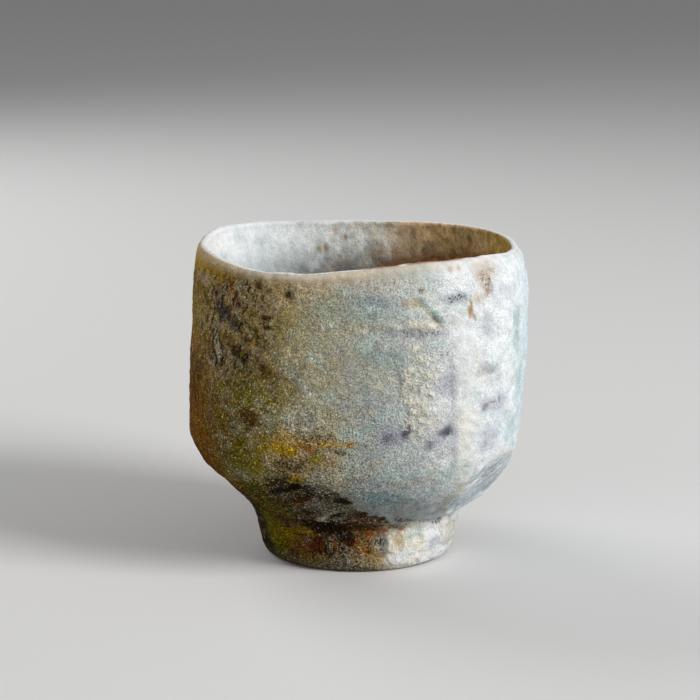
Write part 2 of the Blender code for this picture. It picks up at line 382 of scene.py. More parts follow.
# the outside: glazes round the wall, upper edge of the scorched base as (angle, height), then
# washes and marks of the firing as manner, glaze, cover, (angle, height), (half sizes), any tilt
outerBelt = (
    (-176, "amber"), (-156, "amber"), (-140, "bark"), (-119, "olive"), (-107, "drab"), (-98, "drab"),
    (-86, "ash"), (-71, "pale"), (-59, "snow"), (-12, "snow"), (16, "ice"), (48, "pale"), (80, "ash"),
    (108, "drab"), (134, "bark"), (158, "amber"))
scorchEdge = (
    (-180, 15.0), (-150, 16.8), (-138, 18.6), (-128, 19.4), (-118, 20.3), (-110, 20.8), (-103, 19.6),
    (-97, 17.2), (-92, 14.9), (-87, 13.2), (-78, 11.6), (-68, 10.4), (-40, 9.0), (20, 9.0), (60, 12.5),
    (100, 14.5), (140, 15.5))
outerWashes = (
    ("wash", "olive", 0.7, (-160, 51), (13, 7)),
    ("wash", "straw", 0.8, (-168, 58), (12, 2.2)),
    ("wash", "straw", 0.7, (-140, 57.6), (12, 2.2)),
    ("wash", "umber", 0.25, (-158, 54.5), (8, 2.6)),
    ("wash", "tan", 0.5, (-132, 54), (6, 3)),
    ("wash", "tan", 0.35, (-118, 55), (7, 4)),
    ("wash", "redBrown", 0.75, (-154, 27), (8, 7)),
    ("wash", "umber", 0.5, (-162, 35), (7, 5)),
    ("wash", "umber", 0.7, (-148, 20), (6, 4)),
    ("wash", "umber", 0.4, (-143, 26), (7, 5)),
    ("wash", "umber", 0.45, (-139, 21.5), (6, 3.5)),
    ("wash", "moss", 0.55, (-133, 25), (5, 7)),
    ("wash", "moss", 0.4, (-121, 27), (5, 6)),
    ("wash", "moss", 0.35, (-124, 37), (6, 6)),
    ("wash", "olive", 0.2, (-108, 49), (5, 5)),
    ("wash", "pale", 0.2, (-105, 48.5), (6, 4)),
    ("wash", "slate", 0.15, (-98, 36), (12, 8)),
    ("wash", "pinkish", 0.5, (-105, 58), (14, 2)),
    ("wash", "blueGrey", 0.52, (-82, 16), (11, 5.5), 14),
    ("wash", "blueGrey", 0.2, (-62, 14), (8, 4)),
    ("wash", "pale", 0.8, (-58, 12.5), (8, 3.2)),
    ("wash", "ice", 0.6, (-30, 15), (14, 5)),
    ("wash", "blueGrey", 0.35, (-78, 27), (7, 6)),
    ("wash", "ice", 0.65, (-16, 38), (8, 20)),
    ("wash", "ice", 0.5, (-38, 25), (8, 6)),
    ("wash", "chalk", 0.7, (-46, 23.5), (10, 4)),
    ("wash", "snow", 0.45, (-65, 33), (5, 7)),
    ("wash", "pale", 0.5, (-72, 28), (5, 5)),
    # painted shade in the crease under the bowl, above the foot
    ("wash", "slate", 0.7, (-26, 11.0), (6.5, 1.3)),
    ("wash", "cream", 0.2, (-57.5, 34), (2.4, 14)),
)
outerMarks = (
    # upper left
    ("glassy", "mustard", 0.6, (-145, 57.5), (7, 1.6)),
    ("cloud", "pinkish", 0.5, (-152, 55.5), (3, 1.1)),
    ("blot", "umber", 0.85, (-147, 51.5), (0.7, 0.6)),
    ("speckle", "umber", 0.8, (-139.5, 54.4), (2.2, 1.6), 30),
    ("dot", "rust", 0.9, (-134.5, 55.2), (0.5, 1.1), -12),
    ("dot", "rust", 0.75, (-132.3, 53), (0.6, 1.2), 8),
    ("speckle", "umber", 0.8, (-132, 56), (2.4, 1.2)),
    ("blot", "redBrown", 0.9, (-123.5, 56), (0.9, 0.8)),
    ("dot", "mustard", 0.8, (-120, 55.3), (0.5, 0.45)),
    ("pit", "soot", 0.95, (-113.3, 54.7), (0.75, 0.7)),
    ("dot", "redBrown", 0.7, (-112.6, 53.8), (0.45, 0.8), -20),
    ("cloud", "pinkish", 0.35, (-117, 53.2), (3, 1.6)),
    ("cloud", "slate", 0.6, (-136, 50.2), (3.6, 1.1), 38),
    ("cloud", "soot", 0.45, (-139, 51.4), (1.6, 0.8), 38),
    ("cloud", "soot", 0.4, (-133, 49.0), (1.6, 0.8), 38),
    ("speckle", "slate", 0.9, (-135.5, 50.2), (3.4, 1.6), 38),
    ("blot", "scorch", 0.85, (-120, 50.4), (0.9, 0.4)),
    ("blot", "scorch", 0.85, (-119.5, 48.6), (1.1, 0.4)),
    ("blot", "scorch", 0.7, (-125, 48.3), (1.1, 0.4), 20),
    ("speckle", "umber", 0.8, (-121, 49.4), (2.6, 1.8)),
    ("dot", "soot", 0.8, (-126.5, 46), (0.7, 0.7)),
    ("dot", "scorch", 0.7, (-123, 46.7), (0.6, 0.5)),
    ("cloud", "slate", 0.5, (-139, 47.6), (0.9, 0.9)),
    ("cloud", "clay", 0.6, (-132.5, 46), (1.9, 1.3), 20),
    ("dot", "bone", 0.7, (-140.5, 41.2), (0.5, 1.1), 8),
    ("cloud", "scorch", 0.85, (-127.5, 43), (2.0, 1.2), 35),
    ("cloud", "umber", 0.7, (-119.5, 40.5), (2.0, 1.3), 45),
    ("speckle", "scorch", 0.8, (-124, 42), (4.0, 2.0), 38),
    ("glassy", "moss", 0.5, (-126, 37.5), (3.4, 3.4)),
    ("dot", "rust", 0.9, (-126.5, 39.9), (0.35, 0.3)),
    ("blot", "umber", 0.6, (-155, 36), (4.2, 4.2)),
    # lip
    ("cloud", "pinkish", 0.7, (-116, 58.7), (9, 1.1)),
    ("dot", "tan", 0.8, (-93.5, 58.5), (0.5, 0.5)),
    # centre
    ("cloud", "teal", 0.28, (-92, 51.5), (8, 1.8)),
    ("cloud", "olive", 0.3, (-110, 49.5), (4, 2.6)),
    # painted highlights: white dots for light glinting off the glaze
    ("glint", "snow", 0.8, (-99, 49.5), (0.4, 0.4)),
    ("glint", "snow", 0.8, (-101.5, 49.2), (0.35, 0.35)),
    ("glint", "snow", 0.8, (-86.5, 52.3), (0.45, 0.5)),
    ("dot", "cream", 0.85, (-88, 48.4), (0.55, 0.5)),
    ("blot", "tan", 0.4, (-72.5, 53.2), (1.8, 0.8)),
    ("dot", "cream", 0.8, (-72, 49.4), (0.9, 0.7)),
    ("dot", "cream", 0.7, (-77, 49.2), (0.7, 0.4)),
    ("cloud", "lilac", 0.45, (-69, 47.9), (4, 1.0)),
    ("speckle", "slate", 0.8, (-70, 47.9), (4, 1.0)),
    ("spatter", "slate", 0.5, (-64, 44.6), (2.1, 1.7)),
    ("cloud", "teal", 0.35, (-80, 43.5), (3.4, 1.6)),
    ("cloud", "lilac", 0.5, (-62, 39), (1.9, 2.2)),
    ("dot", "redBrown", 0.8, (-69.8, 55.5), (0.4, 0.3)),
    # right
    ("cloud", "lilac", 0.5, (-58.5, 53.8), (2.4, 0.9)),
    ("spatter", "slate", 0.7, (-57.5, 53.9), (1.9, 0.8)),
    ("cloud", "pinkish", 0.25, (-44, 58.4), (2.4, 1.8), 20),
    ("cloud", "tan", 0.35, (-46.5, 57.0), (1.7, 2.8), 16),
    ("speckle", "umber", 0.85, (-43.5, 58.4), (1.6, 1.4), 20),
    ("speckle", "umber", 0.95, (-46.3, 56.6), (1.5, 2.2), 16),
    ("dot", "clay", 0.5, (-45.4, 56.0), (0.35, 1.2), 14),
    ("dot", "clay", 0.5, (-47.8, 57.4), (0.35, 0.9), -10),
    ("dot", "clay", 0.5, (-46.8, 54.2), (0.4, 0.9), 20),
    ("cloud", "tan", 0.55, (-50.5, 53.4), (1.7, 0.9), -30),
    ("blot", "ochre", 0.9, (-53.2, 52.2), (0.5, 1.5), 10),
    ("dot", "ochre", 0.75, (-53.6, 50.8), (0.35, 0.8)),
    ("dot", "ochre", 0.7, (-52.2, 50.2), (0.3, 0.6)),
    ("dot", "tan", 0.6, (-59, 59), (0.5, 0.7)),
    ("dot", "tan", 0.6, (-56, 59), (0.4, 0.6)),
    ("cloud", "lilac", 0.3, (-38, 54.5), (4, 1.2)),
    ("cloud", "lilac", 0.4, (-48, 48.2), (1.2, 1.6)),
    ("cloud", "slate", 0.4, (-48, 41), (1.3, 1.2)),
    ("cloud", "teal", 0.5, (-33, 46), (1.6, 3.6)),
    ("cloud", "teal", 0.4, (-29, 38), (1.6, 3)),
    ("cloud", "slate", 0.7, (-49, 33.8), (0.55, 0.75), 30),
    ("dot", "slate", 0.7, (-46.6, 34.3), (1.1, 0.22), -8),
    ("dot", "slate", 0.75, (-43.2, 34.6), (0.3, 0.6), -10),
    ("cloud", "lilac", 0.4, (-46.5, 34.0), (3.0, 1.2)),
    # lower front
    ("cloud", "lilac", 0.6, (-78, 29.6), (3.0, 1.3), -20),
    ("cloud", "plum", 0.6, (-80.5, 29.2), (1.2, 0.6), -28),
    ("blot", "plum", 0.9, (-75, 30.3), (1.0, 1.25)),
    # painted highlight in the plum spot
    ("glint", "chalk", 0.95, (-75.2, 30.7), (0.3, 0.35)),
    ("dot", "rust", 0.95, (-73.9, 31.3), (0.3, 0.3)),
    ("speckle", "plum", 0.7, (-75.6, 30.2), (1.5, 1.5)),
    ("cloud", "lilac", 0.5, (-65, 29.0), (2.6, 1.3), -50),
    ("cloud", "plum", 0.85, (-62.8, 30.2), (1.5, 0.9), -45),
    ("cloud", "plum", 0.5, (-67, 27.8), (0.8, 0.6), -30),
    ("speckle", "plum", 0.75, (-63.4, 29.8), (2.2, 1.4), -45),
    ("speckle", "plum", 0.7, (-63.5, 26.6), (1.5, 1.3)),
    ("speckle", "lilac", 0.5, (-48, 27), (3.2, 3.0)),
    ("cloud", "lilac", 0.35, (-48, 28), (2.2, 2.2)),
    ("cloud", "teal", 0.3, (-36, 28), (2.2, 2.4)),
    ("cloud", "mint", 0.6, (-60, 22), (4.0, 2.0)),
    ("speckle", "plum", 0.6, (-66, 20.5), (2.6, 0.8)),
    ("cloud", "teal", 0.5, (-79, 16.5), (5, 1.5), 14),
    ("cloud", "lilac", 0.25, (-67, 13.5), (5, 2.2), 10),
    ("cloud", "beige", 0.35, (-55, 15.5), (1.9, 3.0), 8),
    ("dot", "plum", 0.6, (-46.2, 21), (0.6, 1.0), 40),
    # lower left
    ("wash", "amber", 0.6, (-148, 26), (5, 8), -12),
    ("blot", "umber", 0.75, (-125.5, 32), (1.8, 1.7)),
    ("glassy", "moss", 0.45, (-126, 23), (3.6, 3.6)),
    ("glassy", "mustard", 0.2, (-121, 24.5), (2.4, 2.6)),
    ("glassy", "mustard", 0.9, (-113.8, 26.9), (2.3, 1.2)),
    ("glassy", "mustard", 0.6, (-111, 28.6), (2.8, 1.0), 20),
    ("glassy", "mustard", 0.75, (-110.5, 21), (2.2, 1.0)),
    ("spatter", "umber", 0.75, (-112, 23.6), (3.4, 1.3)),
    ("sprinkle", "tan", 0.7, (-110, 24.0), (3.0, 1.2)),
    ("cloud", "umber", 0.45, (-104, 28.6), (3.2, 1.6)),
    ("speckle", "umber", 0.8, (-103, 28.8), (3.8, 2.2)),
    ("sprinkle", "tan", 0.7, (-104.5, 28.0), (2.2, 0.9)),
    ("glassy", "mustard", 0.6, (-97, 28), (3.0, 0.6)),
    ("dot", "ochre", 0.8, (-93.2, 27.8), (0.6, 0.4)),
    ("dot", "rust", 0.7, (-92.9, 27.7), (0.35, 0.3)),
    ("dot", "rust", 0.9, (-105.5, 26.8), (0.5, 0.5)),
    ("glassy", "moss", 0.75, (-103.5, 25), (0.8, 1.2)),
    ("spatter", "slate", 0.7, (-95, 26.2), (2.4, 0.5), 10),
    ("blot", "soot", 0.95, (-120, 17.7), (2.6, 0.9), -16),
    ("blot", "soot", 0.95, (-111, 19.3), (1.8, 0.7), -10),
    ("spatter", "soot", 0.75, (-116, 19.8), (4.4, 1.8)),
    ("spatter", "scorch", 0.8, (-105, 17.8), (4.4, 1.6), 30),
    ("sprinkle", "drab", 0.75, (-104, 19.4), (2.8, 1.2), 34),
    ("sprinkle", "drab", 0.6, (-119, 20.8), (3.0, 0.7)),
    ("sprinkle", "umber", 0.7, (-101, 15.6), (3.0, 1.2), 38),
    ("sprinkle", "umber", 0.7, (-86, 11.6), (4.6, 1.0), 16),
    ("sprinkle", "drab", 0.7, (-103, 12.8), (3.4, 0.8), -26),
    ("spatter", "umber", 0.8, (-72, 11.0), (4.0, 0.8), 6),
    # back: pale on the right, browner towards the fire side
    ("cloud", "lilac", 0.4, (8, 33), (3.0, 1.6), 15),
    ("spatter", "slate", 0.6, (6, 33.5), (2.0, 1.0), 15),
    ("cloud", "teal", 0.4, (-4, 24), (4, 2.2), -10),
    ("speckle", "plum", 0.7, (22, 27), (3.4, 2.0)),
    ("dot", "redBrown", 0.8, (14, 49), (0.4, 0.35)),
    ("cloud", "beige", 0.45, (18, 51), (3.4, 1.2)),
    ("cloud", "tan", 0.35, (52, 36), (1.2, 3.2), 8),
    ("speckle", "umber", 0.7, (53, 36), (1.4, 3.0), 8),
    ("cloud", "mint", 0.5, (40, 20), (5, 2.2)),
    ("cloud", "teal", 0.45, (30, 44), (4, 6)),
    ("cloud", "lilac", 0.4, (48, 52), (4, 2)),
    ("blot", "tan", 0.7, (38, 56.5), (1.6, 3)),
    ("spatter", "umber", 0.7, (39, 57.5), (1.4, 1.6)),
    ("spatter", "plum", 0.7, (66, 30), (3, 1.6), 20),
    ("spatter", "plum", 0.6, (84, 41), (2.4, 1.2), -20),
    ("cloud", "teal", 0.45, (78, 22), (5, 2.4)),
    ("glassy", "moss", 0.5, (112, 27), (4, 4)),
    ("glassy", "mustard", 0.7, (122, 33), (2.6, 1.6)),
    ("blot", "scorch", 0.7, (128, 46), (2.4, 1.6), 30),
    ("blot", "redBrown", 0.7, (119, 53), (1.1, 1.0)),
    ("blot", "soot", 0.7, (141, 40), (2.0, 1.4)),
    ("blot", "umber", 0.6, (158, 44), (4, 5)),
    ("blot", "scorch", 0.6, (176, 35), (1.6, 1.2)),
    ("glassy", "mustard", 0.5, (-172, 24), (3.0, 1.6)),
    ("cloud", "straw", 0.4, (172, 53), (3.0, 2.2)),
    ("spatter", "soot", 0.7, (116, 18), (5, 1.8)),
    ("spatter", "scorch", 0.7, (75, 14), (5, 1.6)),
)
outerStreaks = (  # manner, glaze, cover, from (angle, height), to (angle, height), half width
    ("ridge", "bone", 0.6, (-139.5, 47.2), (-137, 41.3), 0.5),
    ("ridge", "bone", 0.4, (-151, 49), (-150, 46), 0.45),
    ("groove", "scorch", 0.7, (-145, 45), (-137.5, 41), 0.6),
    ("gouge", "olive", 0.3, (-70.5, 53.4), (-63.2, 49.4), 0.8),
    # painted shadow: dark under the raised flake beside the gouge
    ("dot", "scorch", 0.65, (-66.4, 51.2), (-63.0, 48.9), 0.36),
    ("berm", "mint", 0.75, (-69.5, 53.9), (-62.2, 49.9), 0.42),
    ("berm", "cream", 0.8, (-71.5, 49.3), (-65.5, 49.0), 0.45),
    ("cloud", "snow", 0.65, (-56.8, 50), (-56.3, 26), 1.2),
    ("wash", "cream", 0.35, (-56, 34), (-56.5, 19), 1.1),
    # painted shade along the left side of the arris
    ("cloud", "lilac", 0.25, (-60.6, 46), (-60.2, 29), 0.5),
    ("wash", "cream", 0.5, (4, 53), (6, 38), 1.0),
    ("wash", "blueGrey", 0.4, (27, 56), (25, 44), 0.9),
    ("berm", "snow", 0.6, (32, 40), (40, 38.5), 0.5),
    ("gouge", "slate", 0.3, (58, 47), (66, 45.4), 0.7),
    ("ridge", "tan", 0.5, (-176, 52), (-173, 41), 0.6),
    ("ridge", "straw", 0.4, (164, 50), (168, 40), 0.6),
    ("wash", "lilac", 0.3, (-60, 30), (-59, 22), 0.6),
    ("wash", "blueGrey", 0.6, (-90, 54.5), (-77, 53), 0.8),
    ("ridge", "cream", 0.7, (-52.3, 19), (-50.6, 15.6), 0.35),
    ("groove", "slate", 0.7, (-49.8, 17), (-49.2, 12), 0.4),
    ("groove", "plum", 0.6, (-50, 18.4), (-38, 18.2), 0.5),
    ("wash", "teal", 0.5, (-47, 16), (-30, 16.4), 0.7),
    ("wash", "lilac", 0.5, (-46, 13), (-28, 14), 0.6),
    ("ridge", "bone", 0.6, (-110, 10.9), (-103, 12.1), 0.5),
    ("ridge", "drab", 0.7, (-103, 12.1), (-97, 14.0), 0.55),
    # painted shade: dark in the crease of the fold above the foot
    ("groove", "soot", 0.95, (-104.5, 11.6), (-95.5, 13.0), 0.5),
)


# zones of the bowl: direction, spread, then the heights where one comes in and where it ends
bowlZones = dict(
    frost=(-20, 45), backShade=(178, 20, None, (54.0, 58.0)), burnt=(-108, 26), pitted=(-112, 16),
    charred=(-133, 17, (36.0, 43.0), (55.5, 58.0)), golden=(-108, 11), skirt=(-92, 24),
    glassy=(-122, 20, None, (36.0, 46.0)), mossEdge=(-132, 12),
    mossy=(-130, 16, (20.0, 26.0), (40.0, 47.0)), ember=(-157, 13, (20.0, 26.0), (42.0, 50.0)),
    bareRim=(-38, 42), boneRim=(-98, 32), strawRim=(-168, 30), creamRim=(-108, 42),
    worn=(bowl["arris"][0], 3, (20.0, 26.0), (47.0, 53.0)), coarse=(-100, 22), smoothInside=(145, 45))
# spans in mm over which something comes in, up the wall or through its thickness
bowlSpans = dict(
    insideSkin=(0.55, 0.95), insideSeat=(0.5, 1.5), high=(24.0, 40.0), baseEdge=(-0.9, 0.9),
    skirtTop=(11.0, 12.6), greyFoot=(11.0, 14.0), lip=(56.6, 58.2), facet=(0.2, 0.8),
    facetFoot=(12.0, 17.5), rim=(57.2, 58.8), rimTop=(58.0, 58.9), crest=(58.3, 59.0),
    crestFront=(0.3, 0.45), crestBack=(1.1, 1.6), coarseTop=(28.0, 38.0))
bowlNoises = dict(  # size in mm, shift and any octaves
    veil=(2.6, 29.0, 3), runs=(1.1, 5.0, 3), knots=(1.1, 83.0, 3), fray=(1.3, 37.0, 2),
    heaps=(1.25, 95.0, 3), drag=(1.5, 91.0, 3), pool=(6.0, 41.0), broken=(1.8, 61.0, 2),
    shade=(1.1, 71.0, 2), fine=(1.5, 9.0, 2), wobble=(9.0, 13.0, 3), innerLumps=(2.6, 19.0, 2),
    crusty=(1.7, 33.0, 3))
# grains of several glazes in one zone: glaze, cover, size in mm, noise shift
bowlGrains = dict(
    golden=(("mustard", 0.9, 2.4, 5.0), ("umber", 0.7, 1.4, 15.0), ("bone", 0.5, 0.9, 25.0),
            ("rust", 0.4, 1.4, 35.0), ("scorch", 0.7, 0.9, 45.0)),
    base=(("umber", 0.4, 4.5, 55.0), ("soot", 0.8, 3.0, 65.0), ("redBrown", 0.4, 2.4, 75.0)),
    skirt=(("rust", 0.5, 1.2, 5.0), ("umber", 0.5, 1.1, 15.0), ("drab", 0.5, 0.9, 25.0),
           ("bone", 0.35, 0.7, 51.0)),
    mossy=(("scorch", 0.45, 2.6, 19.0), ("tan", 0.45, 1.7, 29.0), ("umber", 0.4, 1.2, 49.0),
           ("rust", 0.25, 0.9, 59.0), ("drab", 0.55, 1.0, 109.0), ("scorch", 0.4, 0.9, 119.0)),
    ember=(("scorch", 0.4, 2.8, 69.0), ("ochre", 0.45, 2.0, 79.0), ("scorch", 0.45, 1.2, 89.0),
           ("tan", 0.35, 1.0, 99.0)))
# mottles of the ash: glaze, cover, noise, its size, shift and span, and how far frost keeps it off
ashMottles = (
    ("beige", 0.4, crumbs, 6.0, 3.0, (0.1, 0.6), 1.0),
    ("mint", 0.4, lumps, 3.4, 11.0, (0.1, 0.8), 0.6),
    ("lilac", 0.3, lumps, 3.0, 17.0, (0.25, 0.9), 0.6),
    ("bone", 0.3, crumbs, 2.2, 23.0, (0.15, 0.7), 1.0))
bowlFinish = dict(
    fire=((-158, 36, 1.0), (160, 34, 1.0)),  # (direction, spread, strength)
    runMiddle=40.0, runLean=1.2, runReach=32.0, runStretch=0.16, knotStretch=0.4,
    goldHeight=25.5, goldSpread=4.2, grey=((-99, 8, 1.0), (-113, 12, 0.3)),
    crusts=((-71, 5.5, 37.5, 7.5), (93, 8.0, 45.0, 4.0)),  # (direction, spread, height, spread)
    knotLift=0.12, heapLift=0.24, crumbLift=0.14, dragLift=0.14,  # in mm
    dragStretch=0.14, shadeDepth=0.14,
    sandiness=((-180, 0.9), (-130, 1.0), (-112, 0.85), (-96, 0.7), (-82, 0.58), (-66, 0.42), (-50, 0.26),
               (-10, 0.2), (30, 0.26), (70, 0.5), (100, 0.65), (140, 0.9)))


def findZones(surface):
    aboveSeat = fade(surface.height - bowl["seat"], *bowlSpans["insideSeat"])
    surface.inside = fade(surface.skin, *bowlSpans["insideSkin"]) * aboveSeat
    surface.outside = 1.0 - surface.inside
    surface.fire = np.clip(swellSum(surface.angle, bowlFinish["fire"]), 0.0, 1.0)
    surface.frost = surface.zone(*bowlZones["frost"])
    surface.ashen = (1.0 - surface.fire) * surface.outside
    surface.lip = fade(surface.thrown, *bowlSpans["lip"])


def paintAsh(surface):
    for tint, cover, kind, size, shift, span, shy in ashMottles:
        mask = surface.ashen * (1.0 - shy * surface.frost)
        surface.tone(tint, cover, fade(kind(surface.points, size, shift), *span) * mask)
    veil = fade(crumbs(surface.points, *bowlNoises["veil"]), 0.0, 0.6)
    surface.tone("blueGrey", 0.3, veil * surface.ashen * surface.frost)


def leaningNoise(surface, stretch, grain):  # drawn out along the runs that lean down the fire side
    drop = surface.height - bowlFinish["runMiddle"]
    turn = np.radians(surface.angle + drop * bowlFinish["runLean"])
    across = np.cos(turn) * bowlFinish["runReach"]
    along = np.sin(turn) * bowlFinish["runReach"]
    drawn = np.stack((across, along, surface.height * stretch), axis=1)
    return crumbs(drawn, *grain)


def paintRuns(surface):  # melted ash on the fire side
    fire, outside = surface.fire, surface.outside
    surface.streaks = leaningNoise(surface, bowlFinish["runStretch"], bowlNoises["runs"])
    surface.high = fade(surface.height, *bowlSpans["high"])
    surface.tone("tan", 0.35, fade(surface.streaks, 0.15, 0.6) * fire * surface.high * outside)
    surface.tone("umber", 0.5, fade(-surface.streaks, 0.2, 0.6) * fire * outside)
    surface.tone("umber", 0.4, surface.zone(*bowlZones["backShade"]) * outside)


def paintBase(surface):  # scorched up to a ragged edge, pitted along it
    frayed = 1.6 * surface.ragged + 0.9 * crumbs(surface.points, *bowlNoises["fray"])
    over = surface.height + frayed - alongBelt(surface.angle, scorchEdge)
    surface.base = (1.0 - fade(over, *bowlSpans["baseEdge"])) * surface.outside
    surface.tone("darkOlive", 0.96, surface.base)
    surface.tone("scorch", 0.9, surface.base * surface.zone(*bowlZones["burnt"]))
    pitted = 0.7 * band(over, 0.6, 1.6) * surface.zone(*bowlZones["pitted"])
    surface.fields["dark"] = np.maximum(pitted, 0.22 * (1.0 - 0.6 * surface.frost)) * surface.outside


def paintChar(surface):  # knotted runs under the lip on the fire side
    charred = surface.zone(*bowlZones["charred"]) * surface.outside
    knots = leaningNoise(surface, bowlFinish["knotStretch"], bowlNoises["knots"])
    surface.tone("clay", 0.35, charred)
    surface.tone("beige", 0.75, charred * fade(-knots, -0.25, 0.25))
    surface.tone("umber", 0.5, charred * fade(knots, 0.15, 0.45))
    veins = np.clip(0.9 * charred + 0.3 * surface.fire * surface.high, 0.0, 1.0)
    surface.fields["veins"] = veins * surface.outside
    surface.lift += bowlFinish["knotLift"] * np.clip(knots, -1.0, 1.0) * charred


def paintGold(surface):  # melted gold above the base, then the grains of the base and of its skirt
    golden = band(surface.height, bowlFinish["goldHeight"], bowlFinish["goldSpread"]) * surface.outside
    golden = golden * surface.zone(*bowlZones["golden"])
    surface.tone("mustard", 0.35, golden)
    surface.medley(golden, bowlGrains["golden"])
    surface.medley(surface.base, bowlGrains["base"])
    skirt = 1.0 - fade(surface.height + 1.2 * surface.ragged, *bowlSpans["skirtTop"])
    surface.medley(skirt * surface.outside * surface.zone(*bowlZones["skirt"]), bowlGrains["skirt"])


def strewGrains(surface):  # painted highlight specks, dark flecks and pale clods, and mottles of the fire side
    outside, base = surface.outside, surface.base
    glassy = surface.zone(*bowlZones["glassy"])
    # painted highlights: bright specks for light glinting off the glaze
    paintedGlints = 0.32 + 0.1 * glassy - 0.22 * surface.frost + 0.14 * base + 0.1 * surface.fire
    surface.fields["paintedGlints"] = paintedGlints * outside * (1.0 - surface.lip)
    grey = np.clip(swellSum(surface.angle, bowlFinish["grey"]), 0.0, 1.0)
    grey = grey * fade(surface.height, *bowlSpans["greyFoot"]) * base * fade(surface.ragged, -0.4, 0.2)
    surface.tone("drab", 0.6, grey)
    surface.addField("dark", 0.78 * grey)
    surface.fields["clods"] = 0.4 * grey + 0.12 * base + 0.1 * glassy * outside
    surface.tone("moss", 0.18, base * surface.zone(*bowlZones["mossEdge"]))
    mossy = surface.zone(*bowlZones["mossy"]) * outside
    surface.medley(mossy, bowlGrains["mossy"])
    surface.fields["clods"] += 0.18 * mossy
    surface.medley(surface.zone(*bowlZones["ember"]) * outside, bowlGrains["ember"])


def paintCrust(surface):  # unmelted ash stands proud beside the arris and behind, and lies about as crumbs
    crusts = [swell(surface.angle, direction, spread) * band(surface.height, middle, reach)
              for direction, spread, middle, reach in bowlFinish["crusts"]]
    crust = np.maximum(*crusts) * surface.outside
    heaps = crumbs(surface.points, *bowlNoises["heaps"])
    heaped = fade(heaps, 0.05, 0.4) * fade(crust, 0.1, 0.7)
    strewn = fade(heaps, 0.25, 0.6) * surface.ashen * (1.0 - surface.base)
    torn = fade(crust * (1.0 + 1.2 * surface.ragged), 0.1, 0.6)
    surface.tone("bark", 0.25, torn * fade(-heaps, -0.05, 0.3))
    surface.tone("cream", 0.7, heaped * torn)
    surface.tone("bone", 0.25, strewn * (1.0 - surface.frost))
    surface.fields["crust"] = torn * fade(heaps, -0.3, 0.2)
    surface.lift += bowlFinish["heapLift"] * heaped
    surface.lift += bowlFinish["crumbLift"] * strewn * (1.0 - heaped)


def paintFacet(surface):  # painted highlight along the edge left by the knife, then the lines that it dragged across the flat
    height = surface.height
    # painted highlight: cream along the knife's edge
    surface.tone("cream", 0.35, band(surface.cut, -0.2, 0.35) * surface.outside)
    facet = fade(surface.cut, *bowlSpans["facet"]) * surface.outside
    facing = math.radians(bowl["cutDirection"])
    level = surface.points[:, 1] * math.cos(facing) - surface.points[:, 0] * math.sin(facing)
    drawn = bowlFinish["dragStretch"] * (height + level)
    drag = np.stack((height - level, drawn, np.zeros(len(height))), axis=1)
    shaved = crumbs(drag, *bowlNoises["drag"])
    surface.tone("chalk", 0.8, facet)
    surface.tone("blueGrey", 0.6, facet * fade(shaved, 0.1, 0.4))
    surface.tone("slate", 0.22, facet * fade(shaved, 0.3, 0.5))
    surface.tone("ice", 0.8, facet * fade(-shaved, 0.0, 0.4))
    surface.tone("blueGrey", 0.4, facet * (1.0 - fade(height, *bowlSpans["facetFoot"])))
    surface.lift += bowlFinish["dragLift"] * shaved * facet


def paintRim(surface):
    rim = fade(surface.thrown, *bowlSpans["rim"]) * surface.outside
    rim = rim * (1.0 - surface.zone(*bowlZones["bareRim"]))
    surface.tone("pinkish", 0.75, rim)
    surface.tone("bone", 0.45, rim * surface.zone(*bowlZones["boneRim"]))
    surface.tone("straw", 0.5, rim * surface.zone(*bowlZones["strawRim"]))
    edge = fade(surface.thrown, *bowlSpans["rimTop"]) * surface.outside
    surface.tone("cream", 0.5, edge * surface.zone(*bowlZones["creamRim"]))


def paintCrestHighlight(surface):  # painted highlight: white along the top of the lip, but for its red line
    crest = fade(surface.thrown, *bowlSpans["crest"]) * fade(surface.skin, *bowlSpans["crestFront"])
    crest = crest * (1.0 - fade(surface.skin, *bowlSpans["crestBack"]))
    surface.tone("chalk", 0.9, crest * (1.0 - surface.redEdge))


def bowlGrit(surface):
    grit = alongBelt(surface.angle, bowlFinish["sandiness"]) * (1.0 - 0.75 * surface.lip)
    coarse = 0.3 - 0.5 * fade(surface.height, *bowlSpans["coarseTop"])
    grit = grit * (1.0 - 0.6 * surface.zone(*bowlZones["worn"]))
    grit = grit * (1.0 + coarse * surface.zone(*bowlZones["coarse"]))
    smooth = 0.3 - 0.18 * surface.zone(*bowlZones["smoothInside"])
    return np.where(surface.inside > 0.5, smooth, grit)


def paintBowl(surface):
    findZones(surface)
    surface.startPaint(outerBelt)
    surface.layMarks(outerWashes, surface.outside)
    paintAsh(surface)
    paintRuns(surface)
    paintBase(surface)
    paintChar(surface)
    paintGold(surface)
    strewGrains(surface)
    paintCrust(surface)
    surface.layMarks(outerMarks, surface.outside)
    for streak in outerStreaks:
        surface.streak(*streak, surface.outside)
    paintFacet(surface)
    paintRim(surface)
    paintInside(surface)
    paintCrestHighlight(surface)
    surface.shadePaint(bowlNoises["shade"], bowlFinish["shadeDepth"] * (1.0 - surface.low))
    surface.storePaint(bowlGrit(surface))


